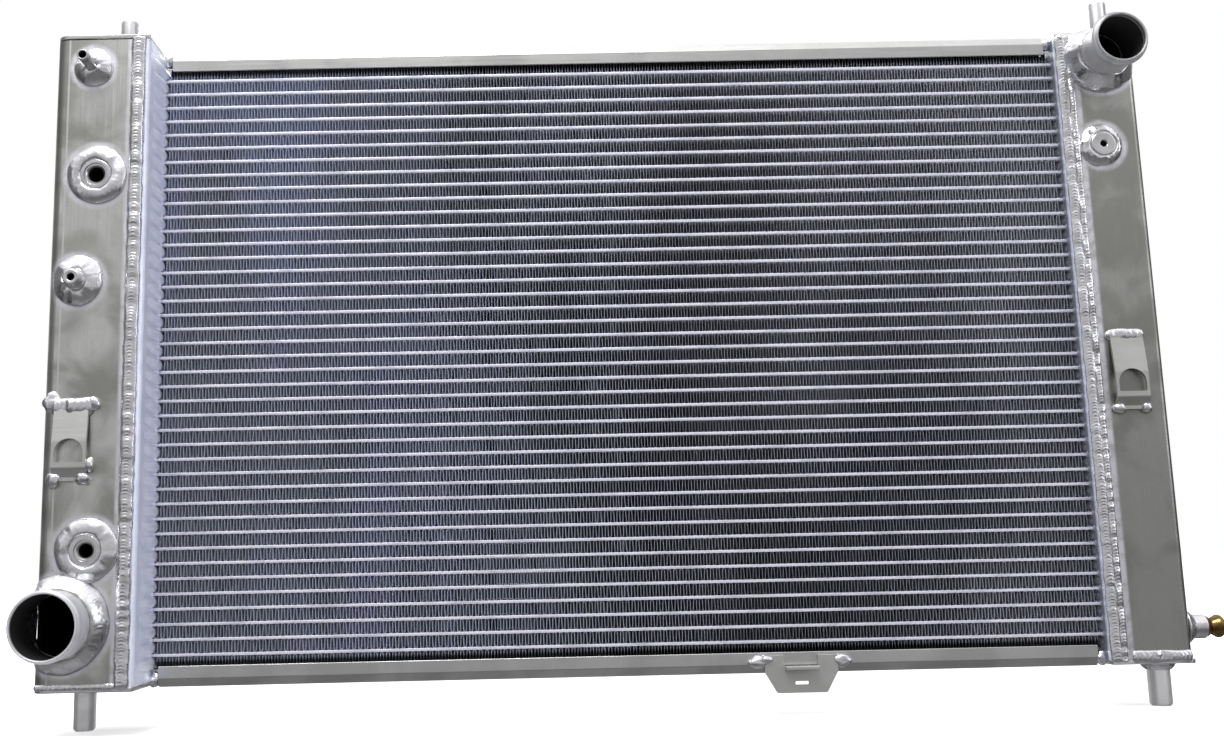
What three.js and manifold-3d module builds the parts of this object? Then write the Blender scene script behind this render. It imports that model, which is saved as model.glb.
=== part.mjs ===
// A car radiator in welded aluminium: a brazed core of flat tubes and fin strips between two header plates,
// a box tank welded on each header, hose necks, an oil cooler inside the left tank and a brass drain cock.
// Millimetres, +Z up, +X to the right of someone who faces the front. The origin lies midway between the
// ends of the two lower locating pins, which are what the radiator stands on.
import * as THREE from 'three';
import { mergeVertices } from 'three/addons/utils/BufferGeometryUtils.js';
import Module from 'manifold-3d';

const wasm = await Module();
wasm.setup();

// Driving dimensions. Places in x, y and z are counted from the centre of the core.
const GAP = 0.3; // left between two pieces that rest on or pass through each other
const OVERLAP = 0.1; // how far a tube and its fin strip sink into each other before they are joined

const CORE_WIDTH = 680; // between the two header plates
const TUBE_COUNT = 41;
const TUBE_PITCH = 10.7;
const TUBE_DEPTH = 42;
const TUBE_HEIGHT = 2;
const TUBE_WALL = 0.35;
const TUBE_NOSE = 0.7; // corner bevel of a tube's front and rear edge
const TUBE_REACH = 1; // how far a tube end stands inside the header plate
const FIN_DEPTH = 41;
const FIN_CLEAR = 2; // between a fin strip's end and the header plate
const FIN_WIDTH = CORE_WIDTH - 2 * FIN_CLEAR;
const COURSE_TUBES = 3; // tubes in one brazed course

const TANK_HALF_HEIGHT = 235; // over the end plates
const SHEET = 3; // thickness of the tank sheet and of the end plates
const REAR_Y = 31; // rear face of both tanks
const LEFT = {
  side: -1,
  front: -63,
  outer: 409,
  bend: 10,
  overhang: 0,
};
const RIGHT = {
  side: 1,
  front: -31,
  outer: 398,
  bend: 5,
  overhang: 2.5,
};
const HEADER_SHEET = 2.5;
const HEADER_RIM = 9; // how far the header's rim reaches towards its tank
const HEADER_BEND = 4;

const CHANNEL = {
  web: 1.5,
  lipTop: 12,
  faceTop: 6,
  faceBottom: -2.6,
  lipSetBack: 3.5,
  endInset: 6,
};

const INLET = { x: 372.4, z: 215.5, length: 40, radius: 19, wall: 1.8, bead: 1.7, beadBack: 5 };
const OUTLET = { x: -390, z: -189.5, length: 36, radius: 23.2, wall: 1.8, bead: 1, beadBack: 5 };
const BEAD_HALF = 2.5; // half length of a neck's rolled bead
const BEAD_SHOULDER = 0.8; // how much of its height the bead has half way to its ends
const NIPPLE = { x: -380.5, z: 209.5, length: 26, radius: 4, wall: 1.25 };
const LEFT_BOSS = { x: -387, z: 50, height: 15, base: 9, tip: 6, bore: 2.4 };
const RIGHT_BOSS = { x: 367.5, z: 145.5, height: 5, base: 11, tip: 9.5, bore: 2.4 };
const BOSS_EDGE = 1; // bevel round a boss's tip
const OIL_PORT = { radius: 11, tail: 10, proud: 3.5, bore: 5.5, inside: 14, edge: 0.8 };
const UPPER_PORT = { x: -375.8, z: 128 };
const LOWER_PORT = { x: -374.3, z: -140 };
const OIL_COOLER = { x: -378, width: 44, depth: 24, halfHeight: 165, shell: 2, centreZ: -5 };

const CLIP = {
  width: 24,
  half: 27,
  sheet: 2.5,
  proud: 8,
  ramp: 18,
  archWidth: 20,
  archHeight: 16.5,
  archDrop: 6,
};
const LEFT_CLIP = { x: -387, z: -65 };
const RIGHT_CLIP = { x: 371, z: -27.5 };
const TAB = {
  x: 121.5,
  top: -223.5,
  kink: -235,
  bottom: -249.5,
  topHalf: 26,
  bottomHalf: 17.6,
  sheet: 2.5,
  notchHalf: 12,
  notchDepth: 7.5,
  lip: 8,
  slotHalf: 4.6,
  slotHalfHeight: 1.1,
  slotZ: -242.7,
};

const PIN_LENGTH = 30;
const PIN_Y = -16;
const PIN_CHAMFER = 1.5;
const PINS = [
  { name: 'upper_left_pin', x: -369.3, radius: 6.7, up: 1 },
  { name: 'upper_right_pin', x: 380.4, radius: 7.1, up: 1 },
  { name: 'lower_left_pin', x: -386.8, radius: 7.7, up: -1 },
  { name: 'lower_right_pin', x: 378.4, radius: 7.8, up: -1 },
];

const DRAIN = {
  y: -17,
  z: -210.5,
  bossLength: 16,
  bossRadius: 8.4,
  bossFoot: 11.8,
  bossFlare: 4,
  edge: 1,
  bore: 6.4,
  stem: 4,
  stemLength: 13,
  collar: 6,
  collarLength: 3,
  flange: 7.1,
  flangeLength: 1.5,
  waist: 5.8,
  waistLength: 2.6,
  cone: 1,
  head: 8.1,
  headLength: 12.6,
  skirtLength: 1,
  domeHeight: 3,
  slotWidth: 1.8,
  slotDepth: 2.2,
  sealStart: 5,
  sealLength: 2.6,
};

const ROUND = 32; // sides of a large round piece
const SMALL_ROUND = 20; // sides of a small one
const BEND_STEPS = 4; // straight lines in a quarter bend

const CENTRE_X = -(PINS[2].x + PINS[3].x) / 2;
const CENTRE_Z = TANK_HALF_HEIGHT + PIN_LENGTH;

const FINISH = {
  tank: { color: 0xa6a79f, roughness: 0.38, metalness: 1 },
  header: { color: 0xb9bbc6, roughness: 0.5, metalness: 1 },
  pipe: { color: 0xb4b4b2, roughness: 0.3, metalness: 1 },
  core: { color: 0xb6b9c4, roughness: 0.35, metalness: 1 },
  fin: { color: 0x5d6474, roughness: 0.55, metalness: 0.9 },
  brass: { color: 0x9a7434, roughness: 0.35, metalness: 1 },
  rubber: { color: 0x1b1b1b, roughness: 0.8, metalness: 0 },
};

// Solids: joining and cutting.

function solid(geometry) {
  const bare = geometry.clone();
  bare.deleteAttribute('normal');
  bare.deleteAttribute('uv');
  const merged = mergeVertices(bare, 1e-4);
  const mesh = new wasm.Mesh({
    numProp: 3,
    vertProperties: new Float32Array(merged.attributes.position.array),
    triVerts: new Uint32Array(merged.index.array),
  });
  return new wasm.Manifold(mesh);
}

function surface(body) {
  const mesh = body.getMesh();
  const geometry = new THREE.BufferGeometry();
  geometry.setAttribute('position', new THREE.BufferAttribute(new Float32Array(mesh.vertProperties), 3));
  geometry.setIndex(new THREE.BufferAttribute(new Uint32Array(mesh.triVerts), 1));
  return geometry;
}

function join(first, ...others) {
  return surface(others.reduce((body, other) => body.add(solid(other)), solid(first)));
}

function cut(stock, ...tools) {
  return surface(tools.reduce((body, tool) => body.subtract(solid(tool)), solid(stock)));
}

// Shapes: outlines and the ways they are swept.

function outline(points) {
  return new THREE.Shape(points.map(([u, v]) => new THREE.Vector2(u, v)));
}

function rectangle(halfU, halfV, centreV = 0) {
  const [low, high] = [centreV - halfV, centreV + halfV];
  return outline([[-halfU, low], [-halfU, high], [halfU, high], [halfU, low]]);
}

function arc(centreU, centreV, radius, fromDegrees, toDegrees, steps = BEND_STEPS) {
  return Array.from({ length: steps + 1 }, (_, i) => {
    const angle = THREE.MathUtils.degToRad(fromDegrees + ((toDegrees - fromDegrees) * i) / steps);
    return [centreU + radius * Math.cos(angle), centreV + radius * Math.sin(angle)];
  });
}

function extrude(shape, depth) {
  return new THREE.ExtrudeGeometry(shape, { depth, bevelEnabled: false, steps: 1 });
}

// An outline in x and y, swept up from z = from to z = to.
function sweepZ(shape, from, to) {
  return extrude(shape, to - from).translate(0, 0, from);
}

// An outline in y and z, swept from x = from to x = to.
function sweepX(shape, from, to) {
  const cycle = new THREE.Matrix4().set(0, 0, 1, 0, 1, 0, 0, 0, 0, 1, 0, 0, 0, 0, 0, 1);
  return extrude(shape, to - from).applyMatrix4(cycle).translate(from, 0, 0);
}

// An outline in x and z, swept from y = from to y = to.
function sweepY(shape, from, to) {
  return extrude(shape, to - from).rotateX(Math.PI / 2).translate(0, to, 0);
}

function box(x0, x1, y0, y1, z0, z1) {
  const geometry = new THREE.BoxGeometry(Math.abs(x1 - x0), Math.abs(y1 - y0), Math.abs(z1 - z0));
  return geometry.translate((x0 + x1) / 2, (y0 + y1) / 2, (z0 + z1) / 2);
}

// A profile of [radius, height] points spun about the height axis. It runs up the outside and either
// closes on itself or starts and ends on the axis.
function spin(profile, sides = ROUND) {
  const points = profile.map(([radius, height]) => new THREE.Vector2(radius, height));
  return new THREE.LatheGeometry(points, sides);
}

function cylinderY(x, z, radius, from, to, sides = ROUND) {
  const geometry = new THREE.CylinderGeometry(radius, radius, to - from, sides);
  return geometry.translate(x, (from + to) / 2, z);
}

// Height in a profile becomes distance out of a tank's front face.
function facingFront(geometry) {
  return geometry.rotateX(Math.PI);
}

function facingRight(geometry) {
  return geometry.rotateZ(-Math.PI / 2);
}

function facingUp(geometry) {
  return geometry.rotateX(Math.PI / 2);
}

const radiator = new THREE.Group();
radiator.position.set(CENTRE_X, -PIN_Y, CENTRE_Z);

function add(name, geometry, finish, x = 0, y = 0, z = 0) {
  const mesh = new THREE.Mesh(geometry, new THREE.MeshStandardMaterial(FINISH[finish]));
  mesh.name = name;
  mesh.position.set(x, y, z);
  radiator.add(mesh);
  return mesh;
}

// The core.

function tubeZ(index) {
  return ((TUBE_COUNT - 1) / 2 - index) * TUBE_PITCH;
}

function tube(z) {
  const y = TUBE_DEPTH / 2;
  const h = TUBE_HEIGHT / 2;
  const rim = outline([
    [-y, -h + TUBE_NOSE],
    [-y + TUBE_NOSE, -h],
    [y - TUBE_NOSE, -h],
    [y, -h + TUBE_NOSE],
    [y, h - TUBE_NOSE],
    [y - TUBE_NOSE, h],
    [-y + TUBE_NOSE, h],
    [-y, h - TUBE_NOSE],
  ]);
  rim.holes.push(rectangle(y - 2 * TUBE_WALL - TUBE_NOSE / 2, h - TUBE_WALL));
  const end = CORE_WIDTH / 2 + HEADER_SHEET + TUBE_REACH;
  return sweepX(rim, -end, end).translate(0, 0, z);
}

function finStrip(topZ, bottomZ) {
  return box(-FIN_WIDTH / 2, FIN_WIDTH / 2, -FIN_DEPTH / 2, FIN_DEPTH / 2, bottomZ, topZ);
}

// Tubes that are brazed to the fin strips between them.
function course(first, last) {
  const pieces = [tube(tubeZ(first))];
  for (let index = first + 1; index <= last; index += 1) {
    const top = tubeZ(index - 1) - TUBE_HEIGHT / 2 + OVERLAP;
    const bottom = tubeZ(index) + TUBE_HEIGHT / 2 - OVERLAP;
    pieces.push(finStrip(top, bottom), tube(tubeZ(index)));
  }
  return join(...pieces);
}

function addCore() {
  const numbered = (count) => String(count).padStart(2, '0');
  const half = TUBE_HEIGHT / 2 + GAP;
  let strips = 0;
  let courses = 0;
  for (let first = 0; first < TUBE_COUNT; first += COURSE_TUBES) {
    const last = Math.min(first + COURSE_TUBES, TUBE_COUNT) - 1;
    const strip = finStrip(tubeZ(first - 1) - half, tubeZ(first) + half);
    strips += 1;
    courses += 1;
    add(`fin_strip_${numbered(strips)}`, strip, 'fin');
    add(`tube_course_${numbered(courses)}`, course(first, last), 'core');
  }
  const lowest = finStrip(tubeZ(TUBE_COUNT - 1) - half, tubeZ(TUBE_COUNT) + half);
  add(`fin_strip_${numbered(strips + 1)}`, lowest, 'fin');
}

// The plates above and below the core: a channel that opens away from the fins, with lips bent inwards.
function sidePlate(up) {
  const web = (TUBE_COUNT / 2 + 0.5) * TUBE_PITCH - TUBE_HEIGHT / 2;
  const y = TUBE_DEPTH / 2;
  const t = CHANNEL.web;
  const back = CHANNEL.lipSetBack;
  const mirrored = ([u, v]) => [-u, v];
  const outside = [
    [y - GAP, CHANNEL.faceBottom],
    [y + t, CHANNEL.faceBottom],
    [y + t, CHANNEL.faceTop],
    [y + t - back, CHANNEL.lipTop],
  ];
  const inside = [
    [y - back, CHANNEL.lipTop - t / 2],
    [y, CHANNEL.faceTop],
    [y, t],
  ];
  const webUnder = [[y - GAP, 0]];
  const half = [...webUnder, ...outside, ...inside];
  const section = [...half, ...half.map(mirrored).reverse()];
  const placed = section.map(([u, v]) => [u, up * (web + GAP + v)]);
  const end = CORE_WIDTH / 2 - CHANNEL.endInset;
  return sweepX(outline(placed), -end, end);
}

// The headers and the tanks.

// A sheet bent into a U in plan. It runs from x = open to x = shut, the closed side, and is `sheet` thick.
function bentSheet(tank, open, shut, bend, sheet) {
  const { side, front } = tank;
  const turn = Math.sign(shut - open);
  const rear = REAR_Y;
  const wall = (offset, radius) => {
    const inset = offset + radius;
    const x = shut - turn * inset;
    return [
      [open, rear - offset],
      ...arc(x, rear - inset, radius, 90, 90 - 90 * turn),
      ...arc(x, front + inset, radius, 90 - 90 * turn, 90 - 180 * turn),
      [open, front + offset],
    ];
  };
  const points = [...wall(0, bend), ...wall(sheet, Math.max(bend - sheet, 1)).reverse()];
  return outline(points.map(([x, y]) => [side * x, y]));
}

function header(tank) {
  const rimEnd = CORE_WIDTH / 2 + HEADER_RIM;
  const plan = bentSheet(tank, rimEnd, CORE_WIDTH / 2, HEADER_BEND, HEADER_SHEET);
  const half = TANK_HALF_HEIGHT - SHEET - GAP;
  const pan = sweepZ(plan, -half, half);
  const y = TUBE_DEPTH / 2 + GAP;
  const h = TUBE_HEIGHT / 2 + GAP;
  const slots = Array.from({ length: TUBE_COUNT }, (_, index) => {
    const z = tubeZ(index);
    return box(tank.side * (CORE_WIDTH / 2 - GAP), tank.side * rimEnd, -y, y, z - h, z + h);
  });
  return cut(pan, ...slots);
}

function tankShell(tank, holes) {
  const plan = bentSheet(tank, CORE_WIDTH / 2 + HEADER_RIM + GAP, tank.outer, tank.bend, SHEET);
  const half = TANK_HALF_HEIGHT - SHEET - GAP;
  return cut(sweepZ(plan, -half, half), ...holes);
}

function frontHole(tank, { x, z }, radius, sides) {
  return cylinderY(x, z, radius + GAP, tank.front - SHEET, tank.front + 2 * SHEET, sides);
}

function endPlate(tank, up) {
  const inner = CORE_WIDTH / 2;
  const outer = tank.outer + tank.overhang;
  const { front, bend, side } = tank;
  const corners = [
    [inner, REAR_Y],
    [inner, front],
    ...arc(outer - bend, front + bend, bend, -90, 0),
    ...arc(outer - bend, REAR_Y - bend, bend, 0, 90),
  ];
  const plan = outline(corners.map(([x, y]) => [side * x, y]));
  const [from, to] = [TANK_HALF_HEIGHT - SHEET, TANK_HALF_HEIGHT];
  return up > 0 ? sweepZ(plan, from, to) : sweepZ(plan, -to, -from);
}

function addTanks() {
  const leftHoles = [
    frontHole(LEFT, OUTLET, OUTLET.radius - OUTLET.wall - GAP, ROUND),
    frontHole(LEFT, NIPPLE, NIPPLE.radius, SMALL_ROUND),
    frontHole(LEFT, LEFT_BOSS, LEFT_BOSS.bore, SMALL_ROUND),
    frontHole(LEFT, UPPER_PORT, OIL_PORT.radius, ROUND),
    frontHole(LEFT, LOWER_PORT, OIL_PORT.radius, ROUND),
  ];
  const wall = RIGHT.outer;
  const drainHole = facingRight(cylinderY(0, 0, DRAIN.bore, wall - 2 * SHEET, wall + SHEET, SMALL_ROUND));
  const rightHoles = [
    frontHole(RIGHT, INLET, INLET.radius - INLET.wall - GAP, ROUND),
    frontHole(RIGHT, RIGHT_BOSS, RIGHT_BOSS.bore, SMALL_ROUND),
    drainHole.translate(0, DRAIN.y, DRAIN.z),
  ];
  add('left_tank', tankShell(LEFT, leftHoles), 'tank');
  add('right_tank', tankShell(RIGHT, rightHoles), 'tank');
  add('left_header', header(LEFT), 'header');
  add('right_header', header(RIGHT), 'header');
  add('left_tank_top_plate', endPlate(LEFT, 1), 'tank');
  add('left_tank_bottom_plate', endPlate(LEFT, -1), 'tank');
  add('right_tank_top_plate', endPlate(RIGHT, 1), 'tank');
  add('right_tank_bottom_plate', endPlate(RIGHT, -1), 'tank');
}

// What stands on the tanks' front faces.

// A hose neck: a pipe that stands on the tank's face, with a rolled bead near its mouth.
function neck({ length, radius, wall, bead, beadBack }) {
  const middle = length - beadBack;
  const shoulder = radius + bead * BEAD_SHOULDER;
  return facingFront(spin([
    [radius - wall, GAP],
    [radius, GAP],
    [radius, middle - BEAD_HALF],
    [shoulder, middle - BEAD_HALF / 2],
    [radius + bead, middle],
    [shoulder, middle + BEAD_HALF / 2],
    [radius, middle + BEAD_HALF],
    [radius, length],
    [radius - wall, length],
    [radius - wall, GAP],
  ]));
}

function nipple({ length, radius, wall }) {
  const profile = [
    [radius - wall, -SHEET],
    [radius, -SHEET],
    [radius, length],
    [radius - wall, length],
    [radius - wall, -SHEET],
  ];
  return facingFront(spin(profile, SMALL_ROUND));
}

function boss({ height, base, tip, bore }) {
  const profile = [
    [bore, GAP],
    [base, GAP],
    [tip + BOSS_EDGE / 2, height - BOSS_EDGE],
    [tip - BOSS_EDGE / 2, height],
    [bore, height],
    [bore, GAP],
  ];
  return facingFront(spin(profile, SMALL_ROUND));
}

function oilPort({ radius, tail, proud, bore, inside, edge }) {
  const back = -SHEET - GAP;
  return facingFront(spin([
    [bore, -inside],
    [tail, -inside],
    [tail, back],
    [radius, back],
    [radius, proud - edge],
    [radius - edge, proud],
    [bore + edge, proud],
    [bore, proud - edge],
    [bore, -inside],
  ]));
}

// The oil cooler: a flat vessel inside the left tank, open only at the two oil ports.
function oilCooler() {
  const { width, depth, halfHeight, shell } = OIL_COOLER;
  const front = LEFT.front + OIL_PORT.inside + GAP;
  const half = width / 2;
  const outer = box(-half, half, front, front + depth, -halfHeight, halfHeight);
  const [innerHalf, innerHeight] = [half - shell, halfHeight - shell];
  const inner = box(-innerHalf, innerHalf, front + shell, front + depth - shell, -innerHeight, innerHeight);
  const mouths = [UPPER_PORT, LOWER_PORT].map(({ x, z }) => {
    const mouth = cylinderY(x, z, OIL_PORT.bore, front - shell, front + 2 * shell, SMALL_ROUND);
    return mouth.translate(-OIL_COOLER.x, 0, -OIL_COOLER.centreZ);
  });
  return cut(outer, inner, ...mouths);
}

// A strap welded on a tank's face at both ends, with an arched window that a shroud's clip hooks into.
function clipBracket() {
  const { width, half, sheet, proud, ramp, archWidth, archHeight, archDrop } = CLIP;
  const foot = -GAP;
  const side = [
    [foot, half],
    [foot - sheet, half],
    [-proud, half - ramp],
    [-proud, ramp / 2 - half],
    [foot - sheet, -half],
    [foot, -half],
    [foot, -half + sheet],
    [sheet - proud, ramp / 2 + sheet / 2 - half],
    [sheet - proud, half - ramp - sheet / 2],
    [foot, half - sheet],
  ];
  const strap = sweepX(outline(side), -width / 2, width / 2);
  const r = archWidth / 2;
  const low = -archDrop - archHeight / 2;
  const springing = low + archHeight - r;
  const window = outline([[-r, low], [r, low], ...arc(0, springing, r, 0, 180, 2 * BEND_STEPS)]);
  return cut(strap, sweepY(window, -2 * proud, foot));
}

// The plate on the lower side plate: its notch's tab is bent forward as a lip, and a slot lies below it.
function lowerBracket() {
  const { top, kink, bottom, topHalf, bottomHalf, sheet, notchHalf, notchDepth, lip } = TAB;
  const notchFloor = top - notchDepth;
  const plate = outline([
    [-topHalf, top],
    [-topHalf, kink],
    [-bottomHalf, bottom],
    [bottomHalf, bottom],
    [topHalf, kink],
    [topHalf, top],
    [notchHalf, top],
    [notchHalf, notchFloor],
    [-notchHalf, notchFloor],
    [-notchHalf, top],
  ]);
  plate.holes.push(rectangle(TAB.slotHalf, TAB.slotHalfHeight, TAB.slotZ));
  const back = -TUBE_DEPTH / 2 - CHANNEL.web - GAP;
  const ledge = box(-notchHalf, notchHalf, back - lip, back - sheet / 2, notchFloor - sheet, notchFloor);
  return join(sweepY(plate, back - sheet, back), ledge);
}

function addFittings() {
  add('inlet_neck', neck(INLET), 'pipe', INLET.x, RIGHT.front, INLET.z);
  add('outlet_neck', neck(OUTLET), 'pipe', OUTLET.x, LEFT.front, OUTLET.z);
  add('vent_nipple', nipple(NIPPLE), 'pipe', NIPPLE.x, LEFT.front, NIPPLE.z);
  add('left_bleed_boss', boss(LEFT_BOSS), 'pipe', LEFT_BOSS.x, LEFT.front, LEFT_BOSS.z);
  add('right_bleed_boss', boss(RIGHT_BOSS), 'pipe', RIGHT_BOSS.x, RIGHT.front, RIGHT_BOSS.z);
  add('upper_oil_port', oilPort(OIL_PORT), 'pipe', UPPER_PORT.x, LEFT.front, UPPER_PORT.z);
  add('lower_oil_port', oilPort(OIL_PORT), 'pipe', LOWER_PORT.x, LEFT.front, LOWER_PORT.z);
  add('oil_cooler', oilCooler(), 'pipe', OIL_COOLER.x, 0, OIL_COOLER.centreZ);
  add('left_clip_bracket', clipBracket(), 'tank', LEFT_CLIP.x, LEFT.front, LEFT_CLIP.z);
  add('right_clip_bracket', clipBracket(), 'tank', RIGHT_CLIP.x, RIGHT.front, RIGHT_CLIP.z);
  add('lower_bracket', lowerBracket(), 'tank', TAB.x, 0, 0);
}

// The locating pins, which stand on the end plates and push into rubber bushes in the car.
function pin({ radius, up }) {
  const geometry = facingUp(spin([
    [0, GAP],
    [radius, GAP],
    [radius, PIN_LENGTH - PIN_CHAMFER],
    [radius - PIN_CHAMFER, PIN_LENGTH],
    [0, PIN_LENGTH],
  ], SMALL_ROUND));
  return up > 0 ? geometry : geometry.rotateX(Math.PI);
}

function addPins() {
  for (const each of PINS) {
    add(each.name, pin(each), 'pipe', each.x, PIN_Y, each.up * TANK_HALF_HEIGHT);
  }
}

// The drain: a boss on the right tank's outer wall, a seal ring and a brass screw with a slotted head.
function drainBoss() {
  const { bossLength, bossRadius, bossFoot, bossFlare, edge, bore } = DRAIN;
  return facingRight(spin([
    [bore, GAP],
    [bossFoot, GAP],
    [bossRadius, bossFlare],
    [bossRadius, bossLength - edge],
    [bossRadius - edge, bossLength],
    [bore, bossLength],
    [bore, GAP],
  ], SMALL_ROUND));
}

function drainCock() {
  const { bossLength, stem, stemLength, collar, collarLength, head, slotDepth, slotWidth } = DRAIN;
  const { flange, flangeLength, waist, waistLength, cone, headLength, skirtLength, domeHeight } = DRAIN;
  const start = bossLength - stemLength;
  const shoulder = bossLength + GAP;
  const waistStart = shoulder + flangeLength + cone;
  const end = shoulder + headLength;
  const domeStart = end - domeHeight;
  const dome = arc(0, 0, 1, 0, 90).map(([u, v]) => [head * u, domeStart + domeHeight * v]);
  const body = facingRight(spin([
    [0, start],
    [stem, start],
    [stem, bossLength - collarLength],
    [collar, bossLength - collarLength],
    [collar, shoulder],
    [flange, shoulder],
    [flange, shoulder + flangeLength],
    [waist, waistStart],
    [waist, waistStart + waistLength],
    [head, domeStart - skirtLength],
    ...dome.slice(0, -1),
    [0, end],
  ], SMALL_ROUND));
  const reach = 2 * head;
  const slot = box(end - slotDepth, end + slotDepth, -reach, reach, -slotWidth / 2, slotWidth / 2);
  return cut(body, slot);
}

function drainSeal() {
  const { sealStart, sealLength, stem, bore } = DRAIN;
  const inner = stem + GAP;
  const outer = bore - GAP;
  const profile = [
    [inner, sealStart],
    [outer, sealStart],
    [outer, sealStart + sealLength],
    [inner, sealStart + sealLength],
    [inner, sealStart],
  ];
  return facingRight(spin(profile, SMALL_ROUND));
}

function addDrain() {
  const place = [RIGHT.outer, DRAIN.y, DRAIN.z];
  add('drain_boss', drainBoss(), 'pipe', ...place);
  add('drain_seal', drainSeal(), 'rubber', ...place);
  add('drain_cock', drainCock(), 'brass', ...place);
}

addCore();
add('top_side_plate', sidePlate(1), 'tank');
add('bottom_side_plate', sidePlate(-1), 'tank');
addTanks();
addFittings();
addPins();
addDrain();

export default radiator;
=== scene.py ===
"""A welded aluminium car radiator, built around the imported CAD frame.

The core is a stack of flat tubes with folded fin strips between them. A header plate closes each end of
the core, and a box tank is welded on each header. Hose necks, ports, brackets, pins and a brass drain cock
are welded or screwed to the tanks. Places are in millimetres from the centre of the core: x to the right,
y to the rear, z up. They become metres in the shared frame when a mesh is made."""

import math
from collections import namedtuple
from functools import reduce

import bmesh
import bpy
import numpy as np
from mathutils import Matrix, Vector


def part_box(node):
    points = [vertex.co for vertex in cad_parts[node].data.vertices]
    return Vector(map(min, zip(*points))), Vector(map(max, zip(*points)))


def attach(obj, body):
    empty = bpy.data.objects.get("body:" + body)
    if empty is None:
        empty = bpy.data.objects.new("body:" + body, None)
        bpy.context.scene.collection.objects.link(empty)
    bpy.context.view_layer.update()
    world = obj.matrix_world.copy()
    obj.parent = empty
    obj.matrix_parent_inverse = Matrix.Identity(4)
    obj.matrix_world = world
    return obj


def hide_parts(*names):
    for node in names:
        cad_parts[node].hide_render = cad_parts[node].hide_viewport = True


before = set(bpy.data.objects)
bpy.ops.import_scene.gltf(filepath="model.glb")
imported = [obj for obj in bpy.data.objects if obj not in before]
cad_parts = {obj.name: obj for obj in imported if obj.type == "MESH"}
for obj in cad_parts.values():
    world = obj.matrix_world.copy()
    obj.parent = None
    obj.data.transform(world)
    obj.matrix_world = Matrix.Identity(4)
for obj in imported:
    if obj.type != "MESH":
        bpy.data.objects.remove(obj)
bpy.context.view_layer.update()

MM = 0.001
BODY = "radiator"
FRONT, REAR = np.array([0.0, -1.0, 0.0]), np.array([0.0, 1.0, 0.0])
RIGHT_WAY, UP = np.array([1.0, 0.0, 0.0]), np.array([0.0, 0.0, 1.0])


def raw_box(*nodes):
    """Lowest and highest corner of some CAD nodes together, in millimetres in the shared frame."""
    boxes = [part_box(node) for node in nodes]
    low = np.min([np.array(low) for low, _ in boxes], axis=0)
    high = np.max([np.array(high) for _, high in boxes], axis=0)
    return low / MM, high / MM


CORE_CENTRE = sum(raw_box("top_side_plate", "bottom_side_plate")) / 2


def box(*nodes):
    """The same box, counted from the centre of the core."""
    low, high = raw_box(*nodes)
    return low - CORE_CENTRE, high - CORE_CENTRE


def middle(node):
    low, high = box(node)
    return (low + high) / 2


# Sizes. What the frame gives is read from it.
TUBE_COUNT = 41
TUBE_HEIGHT = 2.0
TUBE_NOSE = 0.4
TUBE_END = box("tube_course_01")[1][0]
TUBE_DEPTH = 2 * box("tube_course_01")[1][1]
TOP_TUBE_Z = box("tube_course_01")[1][2] - TUBE_HEIGHT / 2
TUBE_PITCH = 2 * TOP_TUBE_Z / (TUBE_COUNT - 1)
CORE_EDGE = box("right_header")[0][0]

FIN_GAP = 1.2
FIN_END = CORE_EDGE - FIN_GAP
FIN_DEPTH = 2 * box("fin_strip_01")[1][1]
FIN_SPACING = 2.2
FIN_SHEET = 0.16
FIN_WAVE = 1.15
FIN_KINDS = 3

SHEET = 3.0
HEADER_SHEET = 2.5
TANK_HALF = box("left_tank_top_plate")[1][2]
INSIDE_HALF = TANK_HALF - SHEET - 0.1
LEFT = {
    "side": -1,
    "front": box("left_tank")[0][1],
    "rear": box("left_tank")[1][1],
    "outer": -box("left_tank")[0][0],
    "bend": 10.0,
}
RIGHT = {
    "side": 1,
    "front": box("right_tank")[0][1],
    "rear": box("right_tank")[1][1],
    "outer": box("right_tank")[1][0],
    "bend": 5.0,
}


# The fittings on the tanks' front faces: the hole in the tank, the fitting's bore, the foot where its weld
# starts (all radii), then how high the weld climbs, its outer radius, its bulge and its unevenness.
Fitting = namedtuple("Fitting", "tank hole bore foot climb reach bulge uneven")
FITTINGS = {
    "outlet_neck": Fitting(LEFT, 21.2, 21.7, 23.1, 10.5, 33.5, 1.2, 0.5),
    "inlet_neck": Fitting(RIGHT, 17.0, 17.5, 18.9, 12.0, 28.0, 0.9, 0.9),
    "vent_nipple": Fitting(LEFT, 3.2, 2.75, 3.9, 7.0, 14.5, 1.5, 0.6),
    "left_bleed_boss": Fitting(LEFT, 2.6, 2.4, 7.6, 7.0, 18.5, 1.8, 0.8),
    "right_bleed_boss": Fitting(RIGHT, 2.6, 2.4, 9.8, 4.3, 16.5, 1.3, 0.8),
    "upper_oil_port": Fitting(LEFT, 10.9, 5.95, 10.9, 3.35, 21.8, 2.1, 0.5),
    "lower_oil_port": Fitting(LEFT, 10.9, 5.95, 10.9, 3.35, 22.5, 2.1, 0.6),
}
BRUSHED_BAND = 357
CREASE_FROM_EDGE = 10.7


def on_tank(tank):
    return [name for name, fitting in FITTINGS.items() if fitting.tank is tank]


# Outlines in a plane. A corner may carry a radius as its third number.


def rounded(corners, steps=6):
    """The closed outline with each corner that has a radius turned into an arc."""
    points = []
    count = len(corners)
    for index, corner in enumerate(corners):
        at = np.array(corner[:2], float)
        radius = corner[2] if len(corner) > 2 else 0
        if radius <= 0:
            points.append(at)
            continue
        before = np.array(corners[index - 1][:2], float) - at
        after = np.array(corners[(index + 1) % count][:2], float) - at
        points.extend(corner_arc(at, before, after, radius, steps))
    return np.array(points)


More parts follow.
